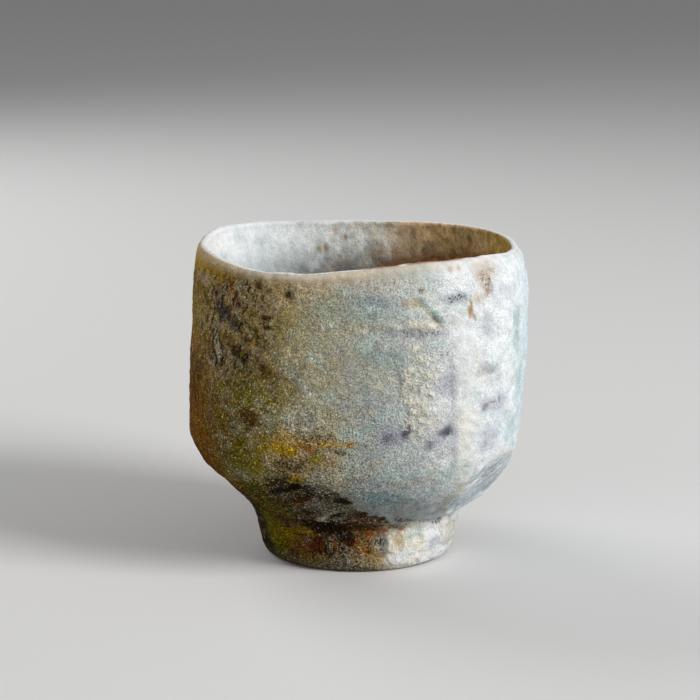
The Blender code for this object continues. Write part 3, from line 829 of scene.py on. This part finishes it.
# the inside: glazes round its wall, height of the rusty shore as (angle, height), zones and grains as above
innerBelt = (
    (-176, "chalk"), (-130, "snow"), (-90, "pale"), (-55, "drab"), (-25, "tan"), (0, "tan"),
    (22, "straw"), (40, "sandy"), (58, "sandy"), (74, "pinkish"), (86, "pale"), (104, "snow"),
    (124, "snow"), (140, "chalk"))
innerShore = ((0, 57.0), (20, 55.6), (40, 53.3), (60, 51.9), (90, 49.8), (110, 49.0))
innerZones = dict(
    rusty=(54, 38), bright=(48, 30), sooty=(45, 50), icy=(132, 28), hoary=(98, 26),
    insideShade=(88, 38, (28.0, 42.0)), redEdge=(-70, 26))
innerSpans = dict(
    low=(24.0, 40.0), deep=(46.0, 57.0), rusty=(0.4, 2.4), bright=(3.0, 8.0), insideShade=(0.0, 8.0),
    pool=(5.0, 17.0), redFront=(0.4, 0.52), redBack=(0.82, 1.15), redTop=(57.0, 58.2))
# the slate is painted shade deeper in the cup; the umber and the teal are the wall's own tints
innerTints = (("slate", 0.55, 98, 30), ("umber", 0.35, 40, 40), ("teal", 0.55, 140, 24))  # of the deep wall
innerGrains = dict(
    sooty=(("umber", 0.5, 1.4, 43.0), ("sandy", 0.6, 1.4, 53.0), ("ochre", 0.4, 1.3, 63.0),
           ("scorch", 0.3, 1.1, 13.0)),
    hoary=(("snow", 0.4, 1.8, 47.0), ("slate", 0.25, 1.8, 57.0)),
    low=(("pale", 0.35, 4.5, 33.0), ("umber", 0.25, 5.5, 39.0)))
innerMarks = (
    ("wash", "moss", 0.3, (14, 54), (9, 5)),
    ("cloud", "slate", 0.35, (108, 48), (4, 2.5)),
    ("cloud", "slate", 0.3, (98, 50), (3, 2.0)),
    ("dot", "ochre", 0.8, (103, 54.5), (0.6, 0.9)),
    ("dot", "ochre", 0.85, (95, 56.5), (0.6, 0.6)),
    ("dot", "rust", 0.6, (99, 57.8), (0.6, 0.5)),
    ("dot", "moss", 0.8, (106, 54), (0.6, 0.7)),
    ("blot", "tan", 0.5, (101, 50), (1.0, 0.8)),
    ("berm", "snow", 0.8, (108, 50.5), (1.2, 0.9)),
    ("berm", "snow", 0.7, (125, 52), (1.8, 1.6)),
    ("berm", "bone", 0.6, (99, 53), (1.2, 1.0)),
    ("berm", "bone", 0.6, (88, 51), (1.4, 1.2)),
    ("berm", "pinkish", 0.5, (80, 54), (1.6, 1.2)),
    # painted sheen: blue-grey streaks reflected on the glossy left wall
    ("cloud", "blueGrey", 0.35, (128, 56.5), (1.6, 1.2)),
    ("cloud", "blueGrey", 0.3, (138, 57.5), (2.2, 0.8)),
    ("cloud", "mint", 0.5, (150, 54), (2.6, 1.6)),
    # painted highlight on the glossy left wall
    ("berm", "chalk", 0.6, (142, 54.5), (1.6, 0.8)))


def paintInside(surface):
    points, height, inside = surface.points, surface.height, surface.inside
    surface.paint += (surface.beltTint(innerBelt) - surface.paint) * inside[:, None]
    surface.fields["paintedGlints"] *= 1.0 - inside
    low = inside * (1.0 - fade(height, *innerSpans["low"]))
    deep = inside * (1.0 - fade(height, *innerSpans["deep"]))
    # tints of the deep wall, the slate among them painted shade
    for tint, cover, direction, spread in innerTints:
        surface.tone(tint, cover, deep * surface.zone(direction, spread))
    above = height - np.interp(surface.angle, *zip(*innerShore))
    rusty = inside * (1.0 - fade(above, *innerSpans["rusty"]))
    surface.tone("rust", 0.8, rusty * surface.zone(*innerZones["rusty"]))
    bright = inside * fade(above, *innerSpans["bright"])
    surface.tone("sandy", 0.6, bright * surface.zone(*innerZones["bright"]))
    surface.layMarks(innerMarks, inside)
    surface.medley(inside * surface.zone(*innerZones["sooty"]), innerGrains["sooty"])
    surface.tone("ice", 0.15, inside * surface.zone(*innerZones["icy"]))
    surface.medley(inside * surface.zone(*innerZones["hoary"]), innerGrains["hoary"])
    # painted shade on the back of the inner wall, deepest below the shore
    insideShade = inside * (1.0 - fade(above, *innerSpans["insideShade"])) * surface.zone(*innerZones["insideShade"])
    surface.paint *= (1.0 - 0.5 * insideShade)[:, None]
    surface.tone("mint", 0.5, low)  # a greenish pool on the floor
    surface.tone("moss", 0.3, low * fade(crumbs(points, *bowlNoises["pool"]), -0.6, 0.7))
    surface.tone("olive", 0.45, low * (1.0 - fade(surface.radius, *innerSpans["pool"])))
    surface.medley(low, innerGrains["low"])
    surface.addField("gloss", 0.5 * low)
    surface.low = low
    redLine = fade(surface.skin, *innerSpans["redFront"]) * fade(surface.thrown, *innerSpans["redTop"])
    redLine = redLine * (1.0 - fade(surface.skin, *innerSpans["redBack"]))
    redLine = redLine * fade(crumbs(points, *bowlNoises["broken"]), -0.7, -0.1)  # broken in places
    frayed = surface.zone(*innerZones["redEdge"]) + 0.3 * surface.ragged
    surface.redEdge = redLine * fade(frayed, 0.3, 0.7)
    surface.tone("rust", 0.9, surface.redEdge)


# relief of the bowl, with depths in mm; thrown rings as (depth, height, spread, direction, spread)
bowlRelief = dict(
    lumps=((0.26, 12.0, 2.0, 3), (0.13, 4.0, 7.0, 3)),
    rings=((0.12, 48.2, 1.1, -82, 30), (0.08, 40.5, 1.3, -80, 40), (0.12, 44.5, 1.2, 55, 55)),
    shoulder=0.14, shoulderRise=(48.0, 50.4), wobble=1.1, fine=0.07, streaks=0.12, innerLumps=0.22,
    crusty=((-128, 22, 1.0), (140, 40, 0.6)), crustyRise=(16.0, 22.0), crustyDepth=0.17,
    inset=0.2, calm=0.6, calmRise=(57.5, 59.5), seatRise=(0.0, 1.0))


def reliefBowl(surface):
    points, angle, height = surface.points, surface.angle, surface.height
    outer = surface.outside
    relief = lumpSum(points, bowlRelief["lumps"])
    relief += bowlRelief["fine"] * crumbs(points, *bowlNoises["fine"]) * (1.0 - surface.low)
    level = height + bowlRelief["wobble"] * crumbs(points, *bowlNoises["wobble"])
    for depth, middle, width, direction, spread in bowlRelief["rings"]:
        relief -= depth * band(level, middle, width) * swell(angle, direction, spread) * outer
    relief += bowlRelief["shoulder"] * fade(level, *bowlRelief["shoulderRise"]) * outer
    relief += bowlRelief["streaks"] * np.clip(surface.streaks, -1.0, 1.0) * surface.fire * outer
    innerLumps = crumbs(points, *bowlNoises["innerLumps"]) * (surface.inside - surface.low)
    relief += bowlRelief["innerLumps"] * innerLumps
    crusty = np.clip(swellSum(angle, bowlRelief["crusty"]), 0.0, 1.0)
    crusty = crusty * fade(height, *bowlRelief["crustyRise"]) * outer
    relief += bowlRelief["crustyDepth"] * crumbs(points, *bowlNoises["crusty"]) * crusty
    relief += surface.lift - bowlRelief["inset"]  # set in, so that the cup stays within its box
    relief *= 1.0 - bowlRelief["calm"] * fade(height, *bowlRelief["calmRise"])
    relief *= fade(height - bowl["seat"], *bowlRelief["seatRise"])
    low, high = (np.array(corner) / mm for corner in cadBox)
    surface.writePoints(np.clip(surface.pushed(relief), low, high))


# the foot ring, smeared on under the bowl
foot = dict(
    top=11.4, seam=10.2, topRadius=19.9, baseRadius=18.7, edgeRound=2.3, taperReach=1.8,
    boreTop=14.4, boreBase=13.5, boreRound=0.8, flare=0.8, flareSide=180.0, flareSpread=55.0,
    smears=((-140.0, 75.0, 1.5), (-62.0, 30.0, 1.7)), smearFrom=6.0,
    lumps=((0.22, 6.0, 2.0, 3), (0.12, 2.0, 7.0, 3)), inset=0.1, standing=(0.0, 1.2),
    shadeDepth=0.18, scorched=((-105, 24, 1.0), (110, 60, 1.0)),
    sandiness=((-180, 0.8), (-110, 1.0), (-84, 0.9), (-74, 0.26), (-30, 0.2), (20, 0.5), (70, 0.9),
               (130, 0.9)),
    paintReach=19.0, steps=440, sideRings=44, edgeRings=14, boreRings=14, capRings=5)
footBelt = (
    (-176, "darkOlive"), (-156, "darkOlive"), (-143, "moss"), (-132, "umber"), (-106, "umber"),
    (-93, "umber"), (-83, "bark"), (-78, "beige"), (-72, "cream"), (-45, "snow"), (-15, "pale"),
    (25, "ash"), (60, "clay"), (110, "umber"), (150, "umber"))
footZones = dict(
    pale=(-35, 45), chalky=(-35, 34), joint=(-105, 26), shaded=(-158, 24, None, (1.5, 4.5)),
    underBowlShade=(-20, 24, (9.2, 10.8)))
footSpans = dict(outside=(0.3, 0.7), pale=(0.2, 0.6), joint=(8.2, 9.8), dusty=(0.8, 3.2))
footNoises = dict(stain=(4.0, 3.0), bloom=(1.6, 8.0), shade=(0.9, 71.0, 2))
footGrains = dict(
    scorched=(("rust", 0.55, 1.2, 5.0), ("scorch", 0.85, 1.1, 15.0), ("drab", 0.45, 0.8, 25.0),
              ("tan", 0.35, 0.9, 35.0), ("soot", 0.75, 0.8, 45.0), ("bone", 0.3, 0.7, 51.0)),
    chalky=(("lilac", 0.25, 1.6, 55.0), ("pinkish", 0.3, 1.6, 65.0), ("ice", 0.4, 1.5, 75.0)))
footMarks = (
    ("glassy", "moss", 0.75, (-139, 6), (4.2, 4)),
    ("glassy", "mustard", 0.5, (-131, 7), (2.2, 1.2)),
    ("glassy", "mustard", 0.7, (-118, 8), (2.0, 0.8)),
    ("cloud", "rust", 0.35, (-122, 4.4), (4.2, 2.2)),
    ("blot", "redBrown", 0.8, (-112, 5.2), (1.7, 1.6)),
    ("blot", "scorch", 0.9, (-106, 9), (4, 1.4)),
    ("blot", "rust", 0.55, (-84.5, 7.8), (1.0, 1.4)),
    ("blot", "rust", 0.6, (-79, 8.2), (0.7, 0.6)),
    ("dot", "rust", 0.8, (-76, 8.6), (0.5, 0.5)),
    ("dot", "rust", 0.8, (-66.3, 8.7), (0.6, 0.5)),
    ("blot", "rust", 0.6, (-85.5, 5), (0.9, 1.2), 40),
    ("blot", "rust", 0.6, (-93, 6.5), (1.2, 1.0)),
    ("dot", "rust", 0.85, (-93, 1.9), (0.6, 0.5)),
    ("blot", "scorch", 0.85, (-96, 7), (1.5, 1.2)),
    ("cloud", "drab", 0.3, (-96, 2.0), (5.5, 1.4)),
    ("cloud", "drab", 0.5, (-79, 6), (1.2, 1.2)),
    ("spatter", "slate", 0.6, (-79, 6), (1.6, 1.6)),
    ("blot", "tan", 0.7, (-80, 3.4), (2.0, 0.8)),
    ("slab", "cream", 0.9, (-60.5, 4.4), (4.5, 3.4)),
    ("cloud", "snow", 0.7, (-62, 3.2), (3.4, 1.4)),
    ("cloud", "tan", 0.6, (-67.5, 6), (0.9, 1.3)),
    ("cloud", "mint", 0.5, (-57, 7.4), (1.8, 1.4)),
    ("cloud", "ochre", 0.6, (-68, 9.4), (2.4, 0.6)),
    ("cloud", "umber", 0.7, (-84, 9.7), (4.6, 1.1)),
    ("cloud", "chalk", 0.7, (-40, 7.0), (3.0, 2.0)),
    ("cloud", "lilac", 0.45, (-41, 4.6), (2.0, 1.0)),
    ("cloud", "beige", 0.4, (-27, 6.5), (3, 2.0)),
    ("cloud", "pinkish", 0.5, (-26, 3.6), (2, 1.0)),
    ("cloud", "blueGrey", 0.6, (-66, 10.6), (4.5, 0.7)),
    ("cloud", "pale", 0.7, (-54, 10.4), (4.5, 1.2)),
    ("speckle", "umber", 0.9, (-82, 9.4), (5, 1.2)),
    ("speckle", "umber", 0.7, (-56, 9.6), (5, 0.7)),
    ("cloud", "slate", 0.5, (-76, 5.4), (0.8, 2.0)),
    ("spatter", "umber", 0.7, (-42, 8.8), (1.4, 0.7)),
    ("spatter", "umber", 0.6, (-26, 9), (1.6, 0.7)),
    ("cloud", "bark", 0.6, (-117, 2), (3.4, 1.6)),
    ("sprinkle", "bone", 0.7, (60, 4), (6, 3)),
    ("glassy", "moss", 0.6, (140, 5), (7, 4)),
)


def footOutline():
    outline = []
    span = foot["topRadius"] - foot["boreTop"]
    for i in range(foot["capRings"]):
        outline.append((foot["boreTop"] + span * i / foot["capRings"], foot["top"]))
    for i in range(foot["sideRings"]):
        height = foot["top"] + (foot["edgeRound"] - foot["top"]) * i / foot["sideRings"]
        taper = (foot["topRadius"] - foot["baseRadius"]) * min(height / foot["seam"], 1.0)
        taper *= fade(height, foot["edgeRound"], foot["edgeRound"] * foot["taperReach"])
        outline.append((foot["baseRadius"] + taper, height))
    for i in range(foot["edgeRings"] + 1):
        lean = math.radians(90.0 * i / foot["edgeRings"])
        out = foot["edgeRound"] * (1.0 - math.cos(lean))
        outline.append((foot["baseRadius"] - out, foot["edgeRound"] * (1.0 - math.sin(lean))))
    for i in range(foot["edgeRings"] + 1):
        lean = math.radians(90.0 * i / foot["edgeRings"])
        back = foot["boreRound"] * (1.0 - math.sin(lean))
        outline.append((foot["boreBase"] + back, foot["boreRound"] * (1.0 - math.cos(lean))))
    for i in range(1, foot["boreRings"]):
        t = i / foot["boreRings"]
        height = foot["boreRound"] + (foot["top"] - foot["boreRound"]) * t
        outline.append((foot["boreBase"] + (foot["boreTop"] - foot["boreBase"]) * t, height))
    return outline


def workFoot(surface):
    angle, height = surface.angle, surface.height
    outer = (surface.radius - foot["boreTop"]) / (foot["topRadius"] - foot["boreTop"])
    surface.outer = np.clip(outer, 0.0, 1.0)
    flare = foot["flare"] * swell(angle, foot["flareSide"], foot["flareSpread"])
    flare = flare * np.minimum(height / foot["seam"], 1.0) ** 3
    climb = np.clip((height - foot["smearFrom"]) / (foot["top"] - foot["smearFrom"]), 0.0, 1.0)
    smear = swellSum(angle, foot["smears"]) * climb ** 2  # clay smeared up against the bowl
    radius = surface.radius + (flare + smear) * surface.outer
    turn = np.radians(angle)
    surface.writePoints(np.stack((radius * np.cos(turn), radius * np.sin(turn), height), axis=1))


def paintFoot(surface):
    points, height = surface.points, surface.height
    outside = fade(surface.outer, *footSpans["outside"])
    surface.startPaint(footBelt)
    surface.tone("clay", 1.0, 1.0 - outside)
    burnt = 1.0 - fade(surface.zone(*footZones["pale"]), *footSpans["pale"])
    surface.tone("umber", 0.4, fade(crumbs(points, *footNoises["stain"]), 0.0, 0.5) * burnt)
    surface.tone("beige", 0.4, fade(crumbs(points, *footNoises["bloom"]), 0.2, 0.7) * burnt)
    scorched = outside * np.clip(swellSum(surface.angle, foot["scorched"]), 0.0, 1.0)
    surface.medley(scorched, footGrains["scorched"])
    surface.medley(outside * surface.zone(*footZones["chalky"]), footGrains["chalky"])
    joint = fade(height + 1.3 * surface.ragged, *footSpans["joint"]) * outside
    surface.tone("scorch", 0.8, joint * surface.zone(*footZones["joint"]))
    surface.fields["dark"] = (0.14 + 0.16 * burnt + 0.15 * scorched) * outside
    # painted highlights: bright specks for light glinting off the burnt clay
    surface.fields["paintedGlints"] = 0.42 * outside * burnt
    surface.fields["clods"] = 0.38 * scorched
    surface.layMarks(footMarks, outside)
    surface.tone("drab", 0.3, (1.0 - fade(height, *footSpans["dusty"])) * outside * burnt)
    surface.tone("darkOlive", 0.65, outside * surface.zone(*footZones["shaded"]))
    # painted shade on the top of the foot, under the bowl's overhang
    surface.tone("blueGrey", 0.7, outside * surface.zone(*footZones["underBowlShade"]))
    surface.shadePaint(footNoises["shade"], foot["shadeDepth"])
    surface.storePaint(alongBelt(surface.angle, foot["sandiness"]))


def reliefFoot(surface):
    relief = lumpSum(surface.points, foot["lumps"]) + surface.lift - foot["inset"]
    moved = surface.pushed(relief * fade(surface.height, *foot["standing"]))
    moved[:, 2] = np.maximum(moved[:, 2], 0.0)
    surface.writePoints(moved)


def addNode(tree, kind, **values):
    node = tree.nodes.new(kind)
    for name, value in values.items():
        setattr(node, name, value)
    return node


def crustyFinish(name, look):  # painted glaze with painted highlights glinting off its crystals, pinholes and a sandy bump
    material = bpy.data.materials.new(name)
    material.use_nodes = True
    tree = material.node_tree
    link = tree.links.new
    shader = tree.nodes["Principled BSDF"]
    place = addNode(tree, "ShaderNodeTexCoord").outputs["Object"]

    def attribute(layer, output):
        return addNode(tree, "ShaderNodeAttribute", attribute_name=layer).outputs[output]

    def noiseField(scale, detail=2.0, roughness=0.6, vector=None):
        field = addNode(tree, "ShaderNodeTexNoise")
        field.inputs["Scale"].default_value = scale
        field.inputs["Detail"].default_value = detail
        field.inputs["Roughness"].default_value = roughness
        link(vector or place, field.inputs["Vector"])
        return field.outputs["Fac"]

    def runDown():  # coordinates turned about the fire side's normal, then drawn out along the runs
        side = math.radians(look["runSide"])
        normal = Vector((math.cos(side), math.sin(side), 0.0))
        turned = addNode(tree, "ShaderNodeMapping")
        lean = Matrix.Rotation(math.radians(look["runLean"]), 3, normal)
        turned.inputs["Rotation"].default_value = lean.to_euler()
        link(place, turned.inputs["Vector"])
        drawn = addNode(tree, "ShaderNodeMapping")
        drawn.inputs["Scale"].default_value = (1.0, 1.0, look["runStretch"])
        link(turned.outputs["Vector"], drawn.inputs["Vector"])
        return drawn.outputs["Vector"]

    def remap(value, low, high, toLow, toHigh):
        node = addNode(tree, "ShaderNodeMapRange", interpolation_type="SMOOTHSTEP")
        link(value, node.inputs["Value"])
        ends = {"From Min": low, "From Max": high, "To Min": toLow, "To Max": toHigh}
        for socket, number in ends.items():
            node.inputs[socket].default_value = number
        return node.outputs["Result"]

    def math2(operation, first, second):
        node = addNode(tree, "ShaderNodeMath", operation=operation)
        for socket, value in zip(node.inputs, (first, second)):
            if isinstance(value, float):
                socket.default_value = value
            else:
                link(value, socket)
        return node.outputs["Value"]

    def blend(mode, factor, base, top):
        node = addNode(tree, "ShaderNodeMix", data_type="RGBA", blend_type=mode)
        if isinstance(factor, float):
            node.inputs["Factor"].default_value = factor
        else:
            link(factor, node.inputs["Factor"])
        link(base, node.inputs["A"])
        if isinstance(top, tuple):
            node.inputs["B"].default_value = (*top, 1.0)
        else:
            link(top, node.inputs["B"])
        return node.outputs["Result"]

    def scaled(value, amount):
        return math2("MULTIPLY", value, amount)

    def grains(scale, layer):  # fine grains, closer together where the attribute is high
        more = scaled(attribute(layer, "Fac"), look["grainMore"])
        return remap(math2("ADD", noiseField(scale), more), *look["grainSpan"], 0.0, 1.0)

    grit = attribute("grit", "Fac")
    gloss = attribute("gloss", "Fac")
    sand = noiseField(look["sandScale"], detail=3.0, roughness=0.7)
    paintedGlints = grains(look["paintedGlintScale"], "paintedGlints")
    clods = grains(look["clodScale"], "clods")
    flecks = grains(look["fleckScale"], "dark")
    shade = remap(sand, *look["sandSpan"], look["sandDark"], look["sandPale"])
    shadeTint = addNode(tree, "ShaderNodeCombineColor")
    for socket in ("Red", "Green", "Blue"):
        link(shade, shadeTint.inputs[socket])
    colour = blend("MULTIPLY", grit, attribute("glaze", "Color"), shadeTint.outputs["Color"])
    runs = noiseField(look["runScale"], vector=runDown())
    veins = attribute("veins", "Fac")
    darkRuns = scaled(remap(runs, *look["runDarkSpan"], 0.0, look["runDark"]), veins)
    paleRuns = scaled(remap(runs, *look["runPaleSpan"], 0.0, look["runPale"]), veins)
    colour = blend("MIX", paleRuns, colour, tuple(glazes["straw"]))
    colour = blend("MIX", darkRuns, colour, tuple(glazes["scorch"]))
    # painted highlights: grains brightened by their own colour, for light off the crystals
    paintedSparks = remap(noiseField(look["sparkScale"]), *look["sparkSpan"], 0.0, look["sparkCover"])
    colour = blend("MIX", scaled(paintedSparks, grit), colour, blend("SCREEN", 1.0, colour, colour))
    # painted highlights: the colour dodged towards white in specks, for light glinting off the glaze
    colour = blend("DODGE", scaled(paintedGlints, look["paintedGlintCover"]), colour, (1.0, 1.0, 1.0))
    colour = blend("MIX", scaled(clods, look["clodCover"]), colour, tuple(glazes["cream"]))
    cake = noiseField(look["crustScale"], detail=3.0)
    crust = attribute("crust", "Fac")
    heaped = scaled(crust, remap(cake, *look["heapSpan"], 0.0, 1.0))
    cracks = scaled(crust, remap(cake, *look["crackSpan"], 0.0, look["crackCover"]))
    colour = blend("MIX", scaled(heaped, look["crustCover"]), colour, tuple(glazes["cream"]))
    colour = blend("MIX", cracks, colour, tuple(glazes["bark"]))
    colour = blend("MIX", scaled(flecks, look["fleckCover"]), colour, tuple(glazes["scorch"]))
    link(colour, shader.inputs["Base Color"])
    dry = remap(sand, *look["roughSpan"], look["roughLow"], look["roughHigh"])
    wet = math2("ADD", scaled(gloss, look["glossWet"]), scaled(paintedGlints, look["glintWet"]))
    link(math2("ADD", dry, wet), shader.inputs["Roughness"])
    pebbles = noiseField(look["pebbleScale"], roughness=0.5)
    heap = scaled(sand, look["sandBump"])
    raised = dict(clodBump=clods, pebbleBump=pebbles, heapBump=heaped, fleckBump=flecks, runBump=darkRuns)
    for amount, layer in raised.items():
        heap = math2("ADD", heap, scaled(layer, look[amount]))
    bump = addNode(tree, "ShaderNodeBump")
    link(math2("ADD", scaled(grit, look["bump"]), look["bumpLeast"]), bump.inputs["Strength"])
    bump.inputs["Distance"].default_value = look["bumpDepth"]
    link(heap, bump.inputs["Height"])
    link(bump.outputs["Normal"], shader.inputs["Normal"])
    shader.inputs["Specular IOR Level"].default_value = look["shine"]
    return material


# scales per metre, covers from 0 to 1, spans of noise between which a grain shows, bumps as shares
ashLook = dict(
    sandScale=3100.0, sandSpan=(0.36, 0.64), sandDark=0.32, sandPale=1.7, pebbleScale=1350.0,
    sparkScale=3000.0, sparkSpan=(0.56, 0.68), sparkCover=0.7, grainSpan=(0.78, 0.88), grainMore=0.45,
    paintedGlintScale=2500.0, paintedGlintCover=0.88, clodScale=1800.0, clodCover=0.85, fleckScale=2700.0, fleckCover=0.8,
    crustScale=900.0, crustCover=0.9, heapSpan=(0.46, 0.56), crackSpan=(0.42, 0.34), crackCover=0.6,
    runSide=-138.0, runLean=18.0, runStretch=0.4, runScale=1250.0,
    runDarkSpan=(0.52, 0.66), runDark=0.85, runPaleSpan=(0.46, 0.34), runPale=0.42,
    roughSpan=(0.3, 0.7), roughLow=0.5, roughHigh=0.72, glossWet=-0.3, glintWet=-0.2, shine=0.015,
    sandBump=0.9, clodBump=0.7, pebbleBump=0.9, heapBump=1.6, fleckBump=-0.5, runBump=-0.8,
    bump=0.9, bumpLeast=0.2, bumpDepth=0.0003)
clayLook = dict(
    ashLook, sandDark=0.2, sandPale=1.9, paintedGlintScale=2700.0, fleckScale=2300.0, roughLow=0.58,
    roughHigh=0.85, bump=1.3, bumpDepth=0.00045)


def makeBowl():
    mesh = spinShell("ash_glazed_bowl", bowlOutline(), bowl["steps"], False)
    surface = Surface(mesh, bowl["paintReach"])
    workBowl(surface)
    paintBowl(surface)
    reliefBowl(surface)
    return addPiece(mesh, crustyFinish("ashGlaze", ashLook), "cup_body")


def makeFoot():
    mesh = spinShell("scorched_foot_ring", footOutline(), foot["steps"], True)
    surface = Surface(mesh, foot["paintReach"])
    workFoot(surface)
    paintFoot(surface)
    reliefFoot(surface)
    return addPiece(mesh, crustyFinish("scorchedClay", clayLook), "foot_ring")


bowlPiece = makeBowl()
print("bowl made:", len(bowlPiece.data.polygons), "faces")
footPiece = makeFoot()
print("foot made:", len(footPiece.data.polygons), "faces")


# plain pale floor, soft light from the right front, camera at the photograph's angle
stage = dict(
    floorRadius=4.0, floorSides=96, floorRough=0.9, floorTint=(0.84, 0.835, 0.83),
    bounceTint=(0.4, 0.4, 0.4),  # what the floor throws back on to the cup
    skyTint=(0.76, 0.76, 0.76), skyStrength=0.22, backdropTint=(0.5, 0.5, 0.5),
    lamps=(("key", (0.912, -0.528, 0.568), 0.54, 12.2),  # name, place, size, power
           ("fill", (-0.7, -0.7, 0.5), 0.8, 0.8),
           ("back", (-0.5, 0.5, 0.5), 0.6, 2.6)),
    lampAim=(0.0, 0.0, 0.03),
    cameraAt=(-0.00154, -0.407, 0.1205), cameraPitch=11.34, lens=111.6, sensor=36.0)


def seenDirectly(tree):  # 1 for rays that show the background, 0 for rays that light the cup
    path = addNode(tree, "ShaderNodeLightPath")
    shown = path.outputs["Is Camera Ray"]
    for ray in ("Is Glossy Ray", "Is Transmission Ray"):
        either = addNode(tree, "ShaderNodeMath", operation="MAXIMUM")
        tree.links.new(shown, either.inputs[0])
        tree.links.new(path.outputs[ray], either.inputs[1])
        shown = either.outputs["Value"]
    return shown


def makeFloor():
    disc = bmesh.new()
    bmesh.ops.create_circle(disc, cap_ends=True, segments=stage["floorSides"],
                            radius=stage["floorRadius"])
    mesh = bpy.data.meshes.new("floor")
    disc.to_mesh(mesh)
    disc.free()
    material = bpy.data.materials.new("palePaper")
    material.use_nodes = True
    tree = material.node_tree
    tint = addNode(tree, "ShaderNodeMix", data_type="RGBA")
    tint.inputs["A"].default_value = (*stage["bounceTint"], 1.0)
    tint.inputs["B"].default_value = (*stage["floorTint"], 1.0)
    tree.links.new(seenDirectly(tree), tint.inputs["Factor"])
    shader = tree.nodes["Principled BSDF"]
    tree.links.new(tint.outputs["Result"], shader.inputs["Base Color"])
    shader.inputs["Roughness"].default_value = stage["floorRough"]
    mesh.materials.append(material)
    floor = bpy.data.objects.new("floor", mesh)
    bpy.context.scene.collection.objects.link(floor)


def makeLamp(name, at, size, power):
    lamp = bpy.data.lights.new(name, "AREA")
    lamp.shape = "DISK"
    lamp.size = size
    lamp.energy = power
    holder = bpy.data.objects.new(name, lamp)
    holder.location = at
    aim = Vector(stage["lampAim"]) - Vector(at)
    holder.rotation_euler = aim.to_track_quat("-Z", "Y").to_euler()
    bpy.context.scene.collection.objects.link(holder)


def makeSky():
    world = bpy.data.worlds.new("studio")
    bpy.context.scene.world = world
    world.use_nodes = True
    tree = world.node_tree
    light = tree.nodes["Background"]
    light.inputs["Color"].default_value = (*stage["skyTint"], 1.0)
    light.inputs["Strength"].default_value = stage["skyStrength"]
    backdrop = addNode(tree, "ShaderNodeBackground")
    backdrop.inputs["Color"].default_value = (*stage["backdropTint"], 1.0)
    mix = addNode(tree, "ShaderNodeMixShader")
    tree.links.new(seenDirectly(tree), mix.inputs["Fac"])
    tree.links.new(light.outputs["Background"], mix.inputs[1])
    tree.links.new(backdrop.outputs["Background"], mix.inputs[2])
    tree.links.new(mix.outputs["Shader"], tree.nodes["World Output"].inputs["Surface"])


def makeCamera():
    camera = bpy.data.cameras.new("camera")
    camera.lens = stage["lens"]
    camera.sensor_width = stage["sensor"]
    holder = bpy.data.objects.new("camera", camera)
    holder.location = stage["cameraAt"]
    holder.rotation_euler = (math.radians(90.0 - stage["cameraPitch"]), 0.0, 0.0)
    bpy.context.scene.collection.objects.link(holder)
    bpy.context.scene.camera = holder


makeFloor()
for lamp in stage["lamps"]:
    makeLamp(*lamp)
makeSky()
makeCamera()
bpy.context.scene.view_settings.view_transform = "Standard"
print("stage set")
